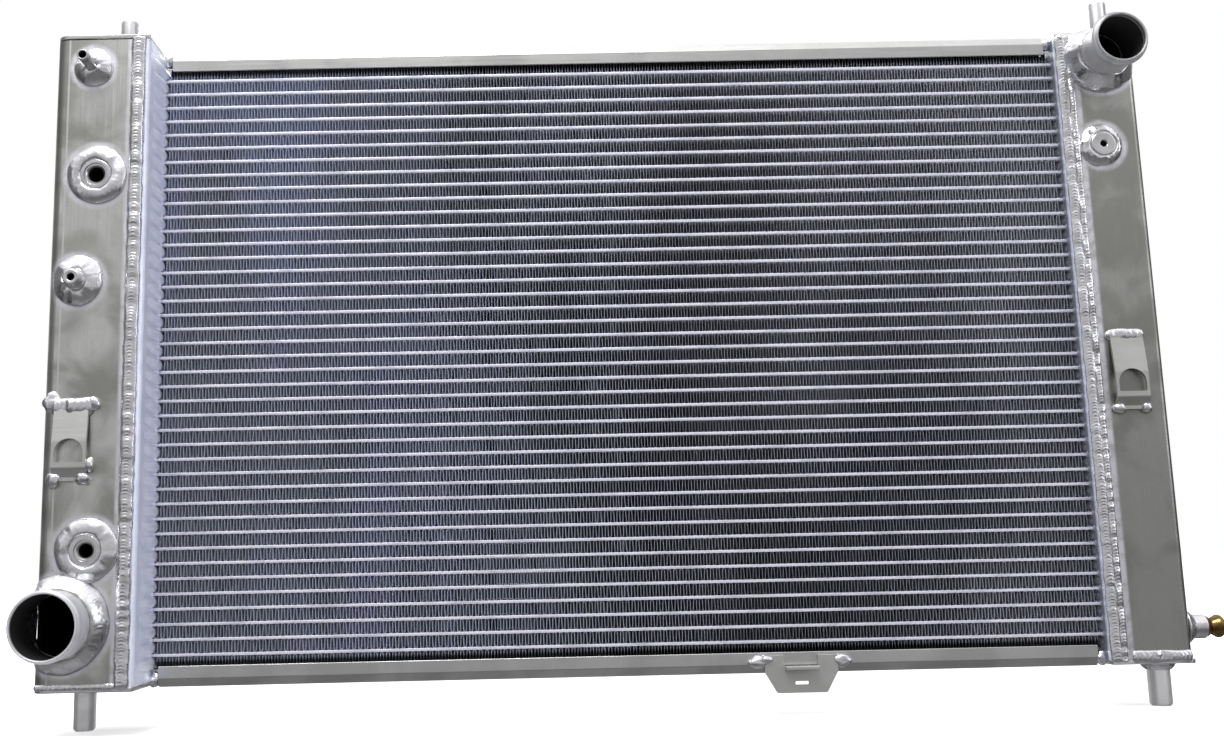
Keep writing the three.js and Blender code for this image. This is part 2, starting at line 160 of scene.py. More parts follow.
def corner_arc(at, before, after, radius, steps):
    """Points of the arc that rounds one corner, between the ways to its two neighbours."""
    before, after = before / np.linalg.norm(before), after / np.linalg.norm(after)
    half = math.acos(np.clip(before @ after, -1, 1)) / 2
    reach = radius / math.tan(half)
    centre = at + (before + after) / np.linalg.norm(before + after) * radius / math.sin(half)
    start, end = at + before * reach - centre, at + after * reach - centre
    turn = math.pi - 2 * half
    sweep = np.linspace(0, 1, steps + 1)[:, None]
    return centre + (np.sin((1 - sweep) * turn) * start + np.sin(sweep * turn) * end) / math.sin(turn)


def ribbon(corners, thickness, steps=8):
    """The outline of a bent sheet, from the corners of its middle line."""
    line = [np.array(corners[0][:2], float)]
    for index in range(1, len(corners) - 1):
        at = np.array(corners[index][:2], float)
        before = np.array(corners[index - 1][:2], float) - at
        after = np.array(corners[index + 1][:2], float) - at
        line.extend(corner_arc(at, before, after, corners[index][2], steps))
    line.append(np.array(corners[-1][:2], float))
    line = np.array(line)
    ways = np.diff(line, axis=0)
    ways /= np.linalg.norm(ways, axis=1)[:, None]
    ways = np.vstack([ways[:1], ways[:-1] + ways[1:], ways[-1:]])
    ways /= np.linalg.norm(ways, axis=1)[:, None]
    across = np.column_stack([-ways[:, 1], ways[:, 0]]) * thickness / 2
    return np.vstack([line + across, (line - across)[::-1]])


# Meshes from arrays of points, in millimetres.


def new_mesh(name, points, faces, local=False):
    """A mesh in metres. Points are counted from the core's centre, or from the object where local is set."""
    mesh = bpy.data.meshes.new(name)
    centre = 0 if local else CORE_CENTRE
    mesh.from_pydata(((np.asarray(points, float) + centre) * MM).tolist(), [], faces)
    bm = bmesh.new()
    bm.from_mesh(mesh)
    bmesh.ops.recalc_face_normals(bm, faces=bm.faces)
    bm.to_mesh(mesh)
    bm.free()
    return mesh


def prism(name, outline, axis, low, high):
    """An outline swept along x, y or z. The outline's two numbers are the other two, in that order."""
    count = len(outline)
    points = np.zeros((2 * count, 3))
    others = [i for i in range(3) if i != "xyz".index(axis)]
    for at, part in ((low, points[:count]), (high, points[count:])):
        part[:, others] = outline
        part[:, "xyz".index(axis)] = at
    faces = [[i, (i + 1) % count, count + (i + 1) % count, count + i] for i in range(count)]
    faces += [list(range(count)), list(range(count, 2 * count))]
    return new_mesh(name, points, faces)


def basis(out):
    """Two directions across the given one."""
    side = RIGHT_WAY if abs(out[0]) < 0.5 else UP
    up = np.cross(out, side)
    return side, up


def lathe(name, profile, at, out, sides=64):
    """A profile of (radius, height) points spun about the line that leaves `at` in the direction `out`.
    It closes on itself, or starts and ends on the axis."""
    side, up = basis(out)
    looped = tuple(profile[0]) == tuple(profile[-1])
    rows = profile[:-1] if looped else profile
    angles = np.linspace(0, 2 * math.pi, sides, endpoint=False)
    ring = np.cos(angles)[:, None] * side + np.sin(angles)[:, None] * up
    points, starts = [], []
    for radius, height in rows:
        starts.append((len(points), radius > 0))
        spots = ring * radius if radius > 0 else np.zeros((1, 3))
        points.extend(at + out * height + spots)
    faces = []
    pairs = list(zip(starts, starts[1:] + ([starts[0]] if looped else [])))
    for (low, low_round), (high, high_round) in pairs:
        for i in range(sides):
            j = (i + 1) % sides
            face = [low + i, low + j] if low_round else [low]
            face += [high + j, high + i] if high_round else [high]
            faces.append(face)
    return new_mesh(name, points, faces)


def turn_arc(radius, height, size, start, end, steps=4):
    """Part of a profile: an arc round (radius, height), in degrees from outwards to upwards."""
    angles = np.radians(np.linspace(start, end, steps + 1))
    return [(radius + size * math.cos(a), height + size * math.sin(a)) for a in angles]


def sweep(name, rows, roots=None, closed=False, local=False):
    """A closed body through rows of points. Each row is a section's outline, shut by its root point."""
    rows = np.asarray(rows, float)
    if roots is not None:
        rows = np.concatenate([rows, np.asarray(roots)[:, None, :]], axis=1)
    count, width = rows.shape[:2]
    faces = []
    for i in range(count if closed else count - 1):
        j = (i + 1) % count
        for k in range(width):
            m = (k + 1) % width
            faces.append([i * width + k, i * width + m, j * width + m, j * width + k])
    if not closed:
        faces += [list(range(width)), list(range((count - 1) * width, count * width))]
    return new_mesh(name, rows.reshape(-1, 3), faces, local)


def merged(name, meshes):
    """Several meshes as one."""
    bm = bmesh.new()
    for mesh in meshes:
        bm.from_mesh(mesh)
    result = bpy.data.meshes.new(name)
    bm.to_mesh(result)
    bm.free()
    return result


def linked(name, data):
    """An object that shows a mesh, a lamp or a camera."""
    thing = bpy.data.objects.new(name, data)
    bpy.context.scene.collection.objects.link(thing)
    return thing


def applied(body, others=()):
    """The mesh of a helper object with its modifiers applied. The helpers are removed."""
    graph = bpy.context.evaluated_depsgraph_get()
    graph.update()
    result = bpy.data.meshes.new_from_object(body.evaluated_get(graph), depsgraph=graph)
    result.name = body.data.name
    for temporary in [body, *others]:
        bpy.data.objects.remove(temporary)
    return result


def worked(mesh, cutters=(), bevel=0.0, segments=2):
    """The mesh with the cutters taken out of it and its sharp edges broken by a small round."""
    body = linked("work", mesh)
    tools = [linked("tool", cutter) for cutter in cutters]
    for tool in tools:
        step = body.modifiers.new("cut", "BOOLEAN")
        step.operation, step.solver, step.object = "DIFFERENCE", "EXACT", tool
    if bevel:
        step = body.modifiers.new("edges", "BEVEL")
        step.width, step.segments, step.limit_method = bevel * MM, segments, "ANGLE"
        step.angle_limit = math.radians(32)
    return applied(body, tools)


def shaded(mesh, sharp):
    """The mesh with smooth bends, crisp edges where the angle is sharper, and flat faces that look flat."""
    mesh.shade_smooth()
    mesh.set_sharp_from_angle(angle=math.radians(sharp))
    body = linked("work", mesh)
    step = body.modifiers.new("normals", "WEIGHTED_NORMAL")
    step.mode, step.keep_sharp, step.weight = "FACE_AREA", True, 50
    return applied(body)


def piece(name, mesh, material, replaces=(), body=BODY, sharp=50.0, at=None):
    """Shows a mesh as a piece of the object. A mesh that several pieces share is shaded before, with
    sharp=0."""
    if sharp:
        mesh = shaded(mesh, sharp)
    thing = linked(name, mesh)
    if at is not None:
        thing.location = Vector((np.asarray(at) + CORE_CENTRE) * MM)
    if not mesh.materials:
        mesh.materials.append(material)
    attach(thing, body)
    if replaces:
        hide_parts(*replaces)
    return thing


# Materials. Textures are placed by position in metres, so grain and stains have their real size.


class Nodes:
    """A node tree, and a short way to add nodes to it that are set and linked."""

    def __init__(self, tree):
        self.tree = tree

    def node(self, kind, inputs=(), **settings):
        made = self.tree.nodes.new("ShaderNode" + kind)
        for key, value in settings.items():
            setattr(made, key, value)
        for key, value in dict(inputs).items():
            if isinstance(value, bpy.types.NodeSocket):
                self.tree.links.new(value, made.inputs[key])
            else:
                made.inputs[key].default_value = value
        return made


class Finish(Nodes):
    """A principled material and the few node patterns that the finishes share."""

    def __init__(self, name, colour, roughness, metallic=1.0):
        self.material = bpy.data.materials.new(name)
        self.material.use_nodes = True
        super().__init__(self.material.node_tree)
        self.shader = self.tree.nodes["Principled BSDF"]
        self.shader.inputs["Metallic"].default_value = metallic
        self.shader.inputs["Roughness"].default_value = roughness
        self.shader.inputs["Base Color"].default_value = (*colour, 1)
        self.place = self.node("NewGeometry").outputs["Position"]

    def noise(self, scale, detail=4.0, distortion=0.0, where=None):
        inputs = {"Vector": where or self.place, "Scale": scale, "Detail": detail, "Distortion": distortion}
        return self.node("TexNoise", inputs).outputs["Fac"]

    def streaks(self, scale, detail=2, turn=(0, 0, 0)):
        """Noise that runs along a direction."""
        inputs = {"Vector": self.place, "Scale": scale, "Rotation": turn}
        return self.noise(1.0, detail, where=self.node("Mapping", inputs).outputs["Vector"])

    def between(self, value, low, high, out_low=0.0, out_high=1.0):
        """Values from low to high, brought smoothly to the two others."""
        inputs = {0: value, 1: low, 2: high, 3: out_low, 4: out_high}
        return self.node("MapRange", inputs, interpolation_type="SMOOTHSTEP").outputs[0]

    def math(self, how, first, second=0.0):
        return self.node("Math", {0: first, 1: second}, operation=how).outputs[0]

    def plus(self, first, second):
        return self.math("ADD", first, second)

    def minus(self, first, second):
        return self.math("SUBTRACT", first, second)

    def times(self, first, second):
        return self.math("MULTIPLY", first, second)

    def most(self, first, second):
        return self.math("MAXIMUM", first, second)

    def mixed(self, factor, first, second):
        inputs = {0: factor, 6: first, 7: second}
        return self.node("Mix", inputs, data_type="RGBA").outputs[2]

    def bump(self, height, strength, depth, under=None):
        inputs = {"Height": height, "Strength": strength, "Distance": depth}
        if under is not None:
            inputs["Normal"] = under
        return self.node("Bump", inputs).outputs["Normal"]

    def near(self, spots, edge=0.004):
        """1 within each (centre, radius) spot in millimetres, seen from the front, 0 beyond its soft edge."""
        masks = []
        for centre, radius in spots:
            spot = tuple((np.asarray(centre) + CORE_CENTRE) * MM)
            away = self.node("VectorMath", {0: self.place, 1: spot}, operation="SUBTRACT").outputs[0]
            flat = self.node("VectorMath", {0: away, 1: (1, 0, 1)}, operation="MULTIPLY").outputs[0]
            length = self.node("VectorMath", {0: flat}, operation="LENGTH").outputs["Value"]
            masks.append(self.between(length, radius * MM, radius * MM + edge, 1.0, 0.0))
        return reduce(self.most, masks)

    def along(self, axis):
        """Distance from the core's centre along an axis, in metres."""
        place = self.node("SeparateXYZ", {0: self.place}).outputs[axis]
        return self.minus(place, float(CORE_CENTRE["XYZ".index(axis)]) * MM)

    def away_from_centre(self, axis):
        return self.math("ABSOLUTE", self.along(axis))

    def inside(self, half_width, edge=0.0025):
        """1 nearer to the middle plane of the core than half_width millimetres, 0 beyond a soft edge."""
        return self.between(self.away_from_centre("X"), half_width * MM - edge, half_width * MM, 1.0, 0.0)

    def bores(self, holes):
        """1 deep inside round holes that run back from (centre, radius, depth of the mouth), 0 elsewhere."""
        depth, spread, crisp = self.along("Y"), 0.35, 0.0003
        masks = []
        for centre, radius, mouth in holes:
            deep = self.between(depth, (mouth + 0.4) * MM, (mouth + 3.5) * MM)
            masks.append(self.times(self.near([(centre, radius + spread)], crisp), deep))
        return reduce(self.most, masks)

    def cut(self, tank):
        """1 on the edges of the sheet where the tank's neck is let into it, 0 elsewhere."""
        neck = on_tank(tank)[0]
        depth, front, crisp = self.along("Y"), tank["front"], 0.0003
        deep = self.between(depth, (front + 0.4) * MM, (front + 1.2) * MM)
        shallow = self.between(depth, (front + 9.1) * MM, (front + 9.3) * MM, 1.0, 0.0)
        hole = self.near([(middle(neck), FITTINGS[neck].hole + 0.2)], crisp)
        return self.times(self.times(deep, shallow), hole)

    def inside_shade_mask(self, tank):
        """1 on the walls inside a tank, 0 on its outside."""
        depth, across = self.along("Y"), self.away_from_centre("X")
        front, rear, outer, bend = (tank[key] * MM for key in ("front", "rear", "outer", "bend"))
        below = self.math("MINIMUM", self.minus(depth, front), self.minus(rear, depth))
        short = self.most(self.minus(bend, below), 0.0)
        aside = self.most(self.minus(across, outer - bend), 0.0)
        length = self.math("SQRT", self.plus(self.times(short, short), self.times(aside, aside)))
        return self.between(self.minus(bend, length), 0.0012, 0.0018)

    def shown(self, colour, tone, shine, relief, strength, depth):
        """The material with roughness between two values of `tone`, and a relief."""
        normal = self.bump(relief, strength, depth)
        return self.set(Base_Color=colour, Roughness=self.between(tone, *shine), Normal=normal)

    def set(self, **links):
        for socket, value in links.items():
            self.tree.links.new(value, self.shader.inputs[socket.replace("_", " ")])
        return self.material


def grey(value, warm=0.0, blue=0.0):
    return (value * (1 + warm), value * (1 + warm / 2), value * (1 + blue), 1)


def sheet_finish(name, light, dark, roughness, grain=(900, 900, 26), tank=None):
    """Rolled sheet: fine grain along its length, cloudy stains and a few scratches. Painted shade makes the
    right tank darker downwards, and the walls inside a tank and the edges of its neck's hole near black."""
    finish = Finish(name, light[:3], roughness)
    broad = finish.noise(14, 2, 0.5)
    clouds = finish.times(finish.plus(broad, finish.noise(26, 5, 0.6)), 0.5)
    specks = finish.noise(160, 6)
    lines = finish.streaks(grain, 3)
    scratches = finish.between(finish.streaks((700, 700, 9), 1, (0.35, 0.5, 0.2)), 0.70, 0.76)
    colour = finish.mixed(finish.between(clouds, 0.42, 0.6), light, dark)
    # Painted shade: the right tank's colour goes darker towards the bottom.
    if tank is RIGHT:
        colour = finish.mixed(finish.between(finish.along("Z"), -0.12, 0.2, 0.5, 0.0), colour, grey(0.2))
    colour = finish.mixed(finish.times(finish.between(specks, 0.5, 0.8), 0.18), colour, grey(0.5))
    shine = finish.between(clouds, 0.38, 0.62, roughness - 0.08, roughness + 0.1)
    shine = finish.plus(shine, finish.between(lines, 0.3, 0.7, -0.04, 0.05))
    if tank:
        brushed = brushed_marks(finish, tank, specks)
        # Painted shade: the walls inside the tank and the edges of its neck's hole are made near black and
        # rougher.
        inner = finish.most(finish.inside_shade_mask(tank), finish.cut(tank))
        colour = finish.mixed(brushed, colour, grey(0.92, blue=0.05))
        colour = finish.mixed(inner, colour, grey(0.02))
        shine = finish.plus(shine, finish.times(brushed, 0.14))
        shine = finish.plus(shine, finish.times(inner, 0.5))
    shine = finish.plus(shine, finish.times(scratches, 0.12))
    normal = finish.bump(lines, 0.12, 0.00004)
    normal = finish.bump(scratches, 0.3, 0.00003, normal)
    normal = finish.bump(broad, 0.5, 0.0012, normal)
    return finish.set(Base_Color=colour, Roughness=shine, Normal=normal)


def brushed_marks(finish, tank, specks):
    """1 where a tank's front is brushed, round its welds, along its long seam and on the left tank's
    crease, 0 elsewhere."""
    halos = [(middle(name), FITTINGS[name].reach + 1) for name in on_tank(tank)]
    ring = finish.most(finish.near(halos), finish.inside(BRUSHED_BAND))
    front = tank["front"] * MM
    ring = finish.times(ring, finish.between(finish.along("Y"), front + 0.008, front + 0.012, 1.0, 0.0))
    blotchy = finish.times(ring, finish.between(specks, 0.3, 0.6, 0.5, 0.95))
    if tank is RIGHT:
        return blotchy
    crease = finish.minus(finish.away_from_centre("X"), (tank["outer"] - CREASE_FROM_EDGE) * MM)
    line = finish.between(finish.math("ABSOLUTE", crease), 0.0003, 0.0009, 0.55, 0.0)
    return finish.most(blotchy, line)


def turned_finish(name, light, dark, roughness, scale, shaded_bores=(), metallic=1.0):
    """Turned or drawn metal: rings or lines that vary fast along one direction, with light handling marks.
    The bores of the fittings named in `shaded_bores` are made rougher and near black deep inside, as painted
    shade."""
    finish = Finish(name, light[:3], roughness, metallic)
    rings = finish.streaks(scale)
    marks = finish.noise(90, 5)
    colour = finish.mixed(finish.between(marks, 0.4, 0.75), light, dark)
    shine = finish.plus(finish.between(rings, 0.3, 0.7, -0.05, 0.06), roughness)
    # Painted shade: deep inside the bores the metal is made near black and rougher.
    if shaded_bores:
        inner = finish.bores([(middle(node), FITTINGS[node].bore, box(node)[0][1]) for node in shaded_bores])
        colour = finish.mixed(inner, colour, grey(0.04))
        shine = finish.plus(shine, finish.times(inner, 0.6))
    normal = finish.bump(rings, 0.35, 0.00005)
    normal = finish.bump(marks, 0.2, 0.0001, normal)
    return finish.set(Base_Color=colour, Roughness=shine, Normal=normal)


def weld_finish():
    """Bright cast metal: mirror-like crests, small pits, and creases between the ripples that painted shade
    makes darker in patches, and rougher.
    """
    finish = Finish("weld_bead", (0.94, 0.94, 0.96), 0.3)
    creases = finish.between(finish.node("NewGeometry").outputs["Pointiness"], 0.44, 0.52, 1.0, 0.0)
    blotches = finish.noise(120, 5)
    pits = finish.noise(700, 3)
    # Painted shade: the creases, found by pointiness, are darkened in patches and made rougher.
    patchy_crease_shade = finish.times(creases, finish.between(blotches, 0.3, 0.6, 0.35, 0.9))
    colour = finish.mixed(finish.between(blotches, 0.45, 0.7), grey(0.97, blue=0.03), grey(0.84, 0.02))
    colour = finish.mixed(patchy_crease_shade, colour, grey(0.4, 0.04))
    shine = finish.plus(finish.between(blotches, 0.35, 0.65, 0.16, 0.34), finish.times(patchy_crease_shade, 0.2))
    return finish.set(Base_Color=colour, Roughness=shine, Normal=finish.bump(pits, 0.35, 0.00012))


def header_finish(name, shade_from=None):
    """The header plate: pale, slightly lilac, dulled by the brazing oven, and darkened with painted shade
    from the depth shade_from on."""
    finish = Finish(name, (0.8, 0.8, 0.88), 0.42, 0.45)
    clouds = finish.noise(60, 5)
    colour = finish.mixed(finish.between(clouds, 0.35, 0.7), (0.84, 0.87, 1.0, 1), (0.72, 0.75, 0.90, 1))
    if shade_from is not None:
        # Painted shade: from this depth back the header is darkened, standing for the shadow there.
        painted_header_shade = finish.between(finish.along("Y"), shade_from * MM, (shade_from + 3) * MM, 0, 0.72)
        colour = finish.mixed(painted_header_shade, colour, (0.05, 0.05, 0.065, 1))
    return finish.shown(colour, clouds, (0.3, 0.7, 0.34, 0.46), finish.noise(900, 3), 0.3, 0.00006)


def tube_finish():
    """The flat tubes: bright, with brazing stains along them."""
    finish = Finish("core_tube", (0.85, 0.85, 0.93), 0.4, 0.55)
    stains = finish.streaks((45, 200, 330), 4)
    colour = finish.mixed(finish.between(stains, 0.4, 0.7), (0.74, 0.74, 0.82, 1), (0.52, 0.52, 0.60, 1))
    return finish.shown(colour, stains, (0.3, 0.7, 0.42, 0.56), finish.noise(1400, 2), 0.25, 0.00005)


def fin_finish():
    """The fins: thin blue-grey sheet with cut louvres across it, duller in soft vertical clouds, with painted
    light on the left that makes them lighter and bluer, and a painted shadow under the side plates."""
    finish = Finish("core_fin", (0.4, 0.43, 0.52), 0.4, 0.4)
    louvre_pitch = 0.0014
    depth = finish.node("SeparateXYZ", {0: finish.place}).outputs["Y"]
    louvres = finish.math("SINE", finish.times(depth, 2 * math.pi / louvre_pitch))
    streaks = finish.streaks((420, 30, 30))
    # Painted light: towards the left the fins are made lighter and bluer.
    left = finish.between(finish.along("X"), -0.3, 0.12, 1.0, 0.0)
    tone = finish.between(finish.streaks((9, 5, 3.2)), 0.36, 0.64)
    tone = finish.minus(tone, finish.times(left, 0.25))
    light = finish.mixed(left, (0.56, 0.575, 0.64, 1), (0.49, 0.54, 0.69, 1))
    colour = finish.mixed(tone, light, (0.36, 0.375, 0.43, 1))
    colour = finish.mixed(finish.between(streaks, 0.55, 0.75, 0, 0.5), colour, (0.58, 0.60, 0.70, 1))
    # Painted shadow: just under the side plates the fins are made nearly black.
    edge = finish.between(finish.away_from_centre("Z"), 0.2165, 0.2195, 0, 0.92)
    colour = finish.mixed(edge, colour, (0.03, 0.03, 0.035, 1))
    return finish.shown(colour, streaks, (0.3, 0.7, 0.42, 0.6), louvres, 0.6, 0.0003)


def brass_finish():
    finish = Finish("drain_brass", (0.55, 0.36, 0.12), 0.3)
    tarnish = finish.noise(140, 6)
    colour = finish.mixed(finish.between(tarnish, 0.4, 0.66), (0.30, 0.19, 0.065, 1), (0.09, 0.055, 0.025, 1))
    rings = finish.streaks((2600, 30, 30))
    return finish.shown(colour, tarnish, (0.35, 0.7, 0.2, 0.5), rings, 0.35, 0.00006)


def rubber_finish():
    finish = Finish("seal_rubber", (0.02, 0.02, 0.02), 0.7, 0.0)
    dust = finish.noise(600, 4)
    colour = finish.mixed(finish.between(dust, 0.5, 0.8), (0.015, 0.015, 0.016, 1), (0.06, 0.058, 0.055, 1))
    return finish.shown(colour, dust, (0.3, 0.7, 0.55, 0.85), dust, 0.3, 0.0001)


def floor_finish():
    finish = Finish("floor_paper", (0.93, 0.93, 0.93), 0.9, 0.0)
    colour = finish.mixed(finish.between(finish.noise(35, 6), 0.3, 0.7), grey(0.94), grey(0.91))
    finish.shader.inputs["Emission Color"].default_value = (1, 1, 1, 1)
    finish.shader.inputs["Emission Strength"].default_value = 0.55
    return finish.set(Base_Color=colour)


# How fast the grain of turned metal and of rolled sheet varies along x, y and z.
TURNED_ALONG_Y, DRAWN_ALONG_Y, TURNED_ALONG_X = (30, 3200, 30), (12, 2400, 12), (2600, 30, 30)
SIDE_GRAIN, PLATE_GRAIN, STRAP_GRAIN = (20, 900, 900), (26, 900, 900), (30, 900, 900)
# The bosses whose bores get painted shade.
SHADED_BORE_BOSSES = ("upper_oil_port", "lower_oil_port", "left_bleed_boss", "right_bleed_boss")

left_sheet = sheet_finish("tank_sheet_left", grey(0.86, -0.01, -0.055), grey(0.42, -0.01, -0.09), 0.33,
                          tank=LEFT)
right_sheet = sheet_finish("tank_sheet_right", grey(0.68, -0.01, -0.08), grey(0.40, -0.01, -0.11), 0.33,
                           tank=RIGHT)
plate_sheet = sheet_finish("end_plate_sheet", grey(0.95), grey(0.76), 0.26, PLATE_GRAIN)
side_sheet = sheet_finish("side_plate", grey(0.74, 0, -0.03), grey(0.6, 0, -0.03), 0.36, SIDE_GRAIN)
bracket_sheet = sheet_finish("bracket_sheet", grey(0.8, 0, -0.03), grey(0.66, 0, -0.04), 0.42, STRAP_GRAIN)
# Painted shade: a darker copy of the bracket sheet, for the right clip.
shaded_bracket_sheet = sheet_finish("bracket_sheet_shaded", grey(0.72, 0, -0.05), grey(0.58, 0, -0.06), 0.42,
                                  STRAP_GRAIN)
# Painted shade: the oil cooler inside the left tank is made near black.
cooler_sheet = sheet_finish("oil_cooler", grey(0.04), grey(0.02), 0.8)
outlet_metal = turned_finish("outlet_tube", grey(0.74, 0, 0.03), grey(0.62, 0, 0.03), 0.48, DRAWN_ALONG_Y,
                             ["outlet_neck"], 0.7)
inlet_metal = turned_finish("inlet_tube", grey(0.5, 0, 0.02), grey(0.38, 0, 0.02), 0.46, DRAWN_ALONG_Y,
                            ["inlet_neck"], 0.75)
nipple_metal = turned_finish("nipple_tube", grey(0.66), grey(0.5), 0.3, DRAWN_ALONG_Y, ["vent_nipple"])
boss_metal = turned_finish("turned_boss", grey(0.88), grey(0.7), 0.25, TURNED_ALONG_Y, SHADED_BORE_BOSSES)
pin_metal = turned_finish("pin_bar", grey(0.97), grey(0.84), 0.34, (1500, 1500, 20), metallic=0.85)
drain_metal = turned_finish("drain_boss", grey(0.86), grey(0.68), 0.28, TURNED_ALONG_X)
weld_metal = weld_finish()
left_header_metal = header_finish("header_plate_left")
# The right header gets painted shade behind its front.
right_header_metal = header_finish("header_plate_right", RIGHT["front"] + 4.5)
tube_metal = tube_finish()
fin_metal = fin_finish()
brass = brass_finish()
rubber = rubber_finish()


# The core.


def tube_z(index):
    return TOP_TUBE_Z - index * TUBE_PITCH


def add_tubes():
    """Flat tubes with blunt round noses. They share one mesh."""
    half, nose, blunt = TUBE_DEPTH / 2, TUBE_HEIGHT / 2, TUBE_NOSE
    turns = np.linspace(0, math.pi, 15)
    front = [(-half + blunt - blunt * math.sin(a) ** 0.45, -nose * math.cos(a)) for a in turns]
    section = front + [(-y, -z) for y, z in front]
    rows = [[(x, y, z) for y, z in section] for x in (-TUBE_END, 0, TUBE_END)]
    mesh = shaded(sweep("flat_tube", rows, local=True), 70)
    courses = sorted(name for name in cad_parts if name.startswith("tube_course_"))
    tubes_in_course = math.ceil(TUBE_COUNT / len(courses))
    for index in range(TUBE_COUNT):
        stood_for = [courses[index // tubes_in_course]]
        name = f"flat_tube_{index + 1:02d}"
        piece(name, mesh, tube_metal, stood_for, sharp=0, at=(0, 0, tube_z(index)))


def fin_mesh(kind):
    """A sheet folded up and down between two tubes, with a shallow wave from front to back and, here and
    there, a few legs pushed over at the front or the rear face."""
    rng = np.random.default_rng(40 + kind)
    legs = int(2 * FIN_END / FIN_SPACING)
    clearance, bend_share = 0.01, 0.92
    crest = (TUBE_PITCH - TUBE_HEIGHT) / 2 - clearance
    radius = FIN_SPACING / 2 * bend_share
    across, height = [], []
    for leg in range(legs):
        side = 1 if leg % 2 else -1
        middle_x = (leg - (legs - 1) / 2) * FIN_SPACING
        for angle in np.radians([180, 120, 60, 0]):
            across.append(middle_x + radius * math.cos(angle))
            height.append(side * (crest - radius + radius * math.sin(angle)))
    across, height = np.array(across), np.array(height)
    way = np.gradient(across), np.gradient(height)
    size = np.hypot(*way)
    lean_x, lean_z = -way[1] / size * FIN_SHEET / 2, way[0] / size * FIN_SHEET / 2
    dents = bent_legs(rng, across, height / crest)
    rows = []
    for share, wave in ((0, 0), (1 / 6, 1), (1 / 2, -1), (5 / 6, 1), (1, 0)):
        y = (share - 0.5) * FIN_DEPTH
        shift = wave * FIN_WAVE + dents[0 if share < 0.5 else 1] * (abs(share - 0.5) == 0.5)
        for sign in (1, -1):
            rows.append(np.column_stack([
                across + shift + sign * lean_x,
                np.full(len(across), y),
                height + sign * lean_z,
            ]))
    return folded_sheet(f"fin_strip_{'abc'[kind]}", np.array(rows))


def bent_legs(rng, across, height):
    """How far each point of the front and of the rear edge is pushed sideways."""
    pushed = []
    for _ in range(2):
        shift = rng.normal(0, 0.09, len(across))
        for _ in range(5):
            centre, reach = rng.uniform(-FIN_END, FIN_END), rng.uniform(2, 6)
            push = rng.choice((-1, 1)) * rng.uniform(0.5, 1.1)
            shift += push * np.exp(-((across - centre) / reach) ** 2)
        pushed.append(shift * (1 - 0.9 * np.abs(height) ** 3))
    return pushed


def folded_sheet(name, rows):
    """A closed thin body. rows holds its upper and lower line in turn, at each depth from front to back."""
    width = rows.shape[1]
    upper, lower = range(0, len(rows), 2), range(1, len(rows), 2)
    column = np.arange(width - 1)

    def quads(first, second):
        a, b = first * width + column, second * width + column
        return np.column_stack([a, a + 1, b + 1, b])

    faces = [quads(first, second) for first, second in zip(upper, upper[1:])]
    faces += [quads(second, first) for first, second in zip(lower, lower[1:])]
    faces += [quads(lower[0], upper[0]), quads(upper[-1], lower[-1])]
    ends = [[first * width + at, second * width + at, (second + 1) * width + at, (first + 1) * width + at]
            for first, second in zip(upper, upper[1:]) for at in (0, width - 1)]
    return new_mesh(name, rows.reshape(-1, 3), np.vstack(faces).tolist() + ends, local=True)


def add_fins():
    strips = sorted(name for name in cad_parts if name.startswith("fin_strip_"))
    meshes = [fin_mesh(kind) for kind in range(FIN_KINDS)]
    for mesh in meshes:
        mesh.shade_smooth()
        mesh.set_sharp_from_angle(angle=math.radians(75))
        mesh.materials.append(fin_metal)
    for index in range(TUBE_COUNT + 1):
        at = (0, 0, tube_z(index) + TUBE_PITCH / 2)
        stood_for = [strips[index // 3]] if index % 3 == 0 else [strips[-1]] if index == TUBE_COUNT else []
        mesh = meshes[index * 2 % FIN_KINDS]
        piece(f"fins_{index + 1:02d}", mesh, fin_metal, stood_for, sharp=0, at=at)


def add_side_plates():
    """The channels above and below the core."""
    for name, way in (("top_side_plate", 1), ("bottom_side_plate", -1)):
        low, high = box(name)
        near = low[2] if way > 0 else high[2]
        far = high[2] if way > 0 else low[2]
        y, end = high[1], high[0]
        web_from, web, back, lip = near + way * 2.6, 1.5, 3.5, 6.0
        bend = far - way * lip
        half = [
            (y - web - 0.3, web_from),
            (y - web - 0.3, near, 0.3),
            (y, near, 0.5),
            (y, bend, 1.6),
            (y - back, far, 0.4),
            (y - back - web, far - way * 0.5, 0.3),
            (y - web, bend, 1.2),
            (y - web, web_from + way * web, 1.0),
        ]
        mirrored = [(-corner[0], *corner[1:]) for corner in half[::-1]]
        mesh = prism(name, rounded(half + mirrored, 4), "x", -end, end)
        piece(name + "_channel", worked(mesh, bevel=0.25), side_sheet, [name])


# Headers and tanks.


def stadium(offset):
    """Points round a flat tube at a distance from it, as (y, z)."""
    radius = TUBE_HEIGHT / 2 + offset
    straight = (TUBE_DEPTH - TUBE_HEIGHT) / 2
    turns = np.linspace(0, math.pi, 10)
    front = [(-straight - radius * math.sin(a), -radius * math.cos(a)) for a in turns]
    return np.array(front + [(-y, -z) for y, z in front])


def channel(name, tank, edge, web, bend, sheet, top, steps):
    """A sheet bent into a channel as deep as the tank. Its edges are at x = edge, and the middle line of
    its web is at x = web."""
    side, inset = tank["side"], sheet / 2
    corners = [
        (side * edge, tank["rear"] - inset),
        (side * web, tank["rear"] - inset, bend),
        (side * web, tank["front"] + inset, bend),
        (side * edge, tank["front"] + inset),
    ]
    return prism(name, ribbon(corners, sheet, steps), "z", -INSIDE_HALF, top)


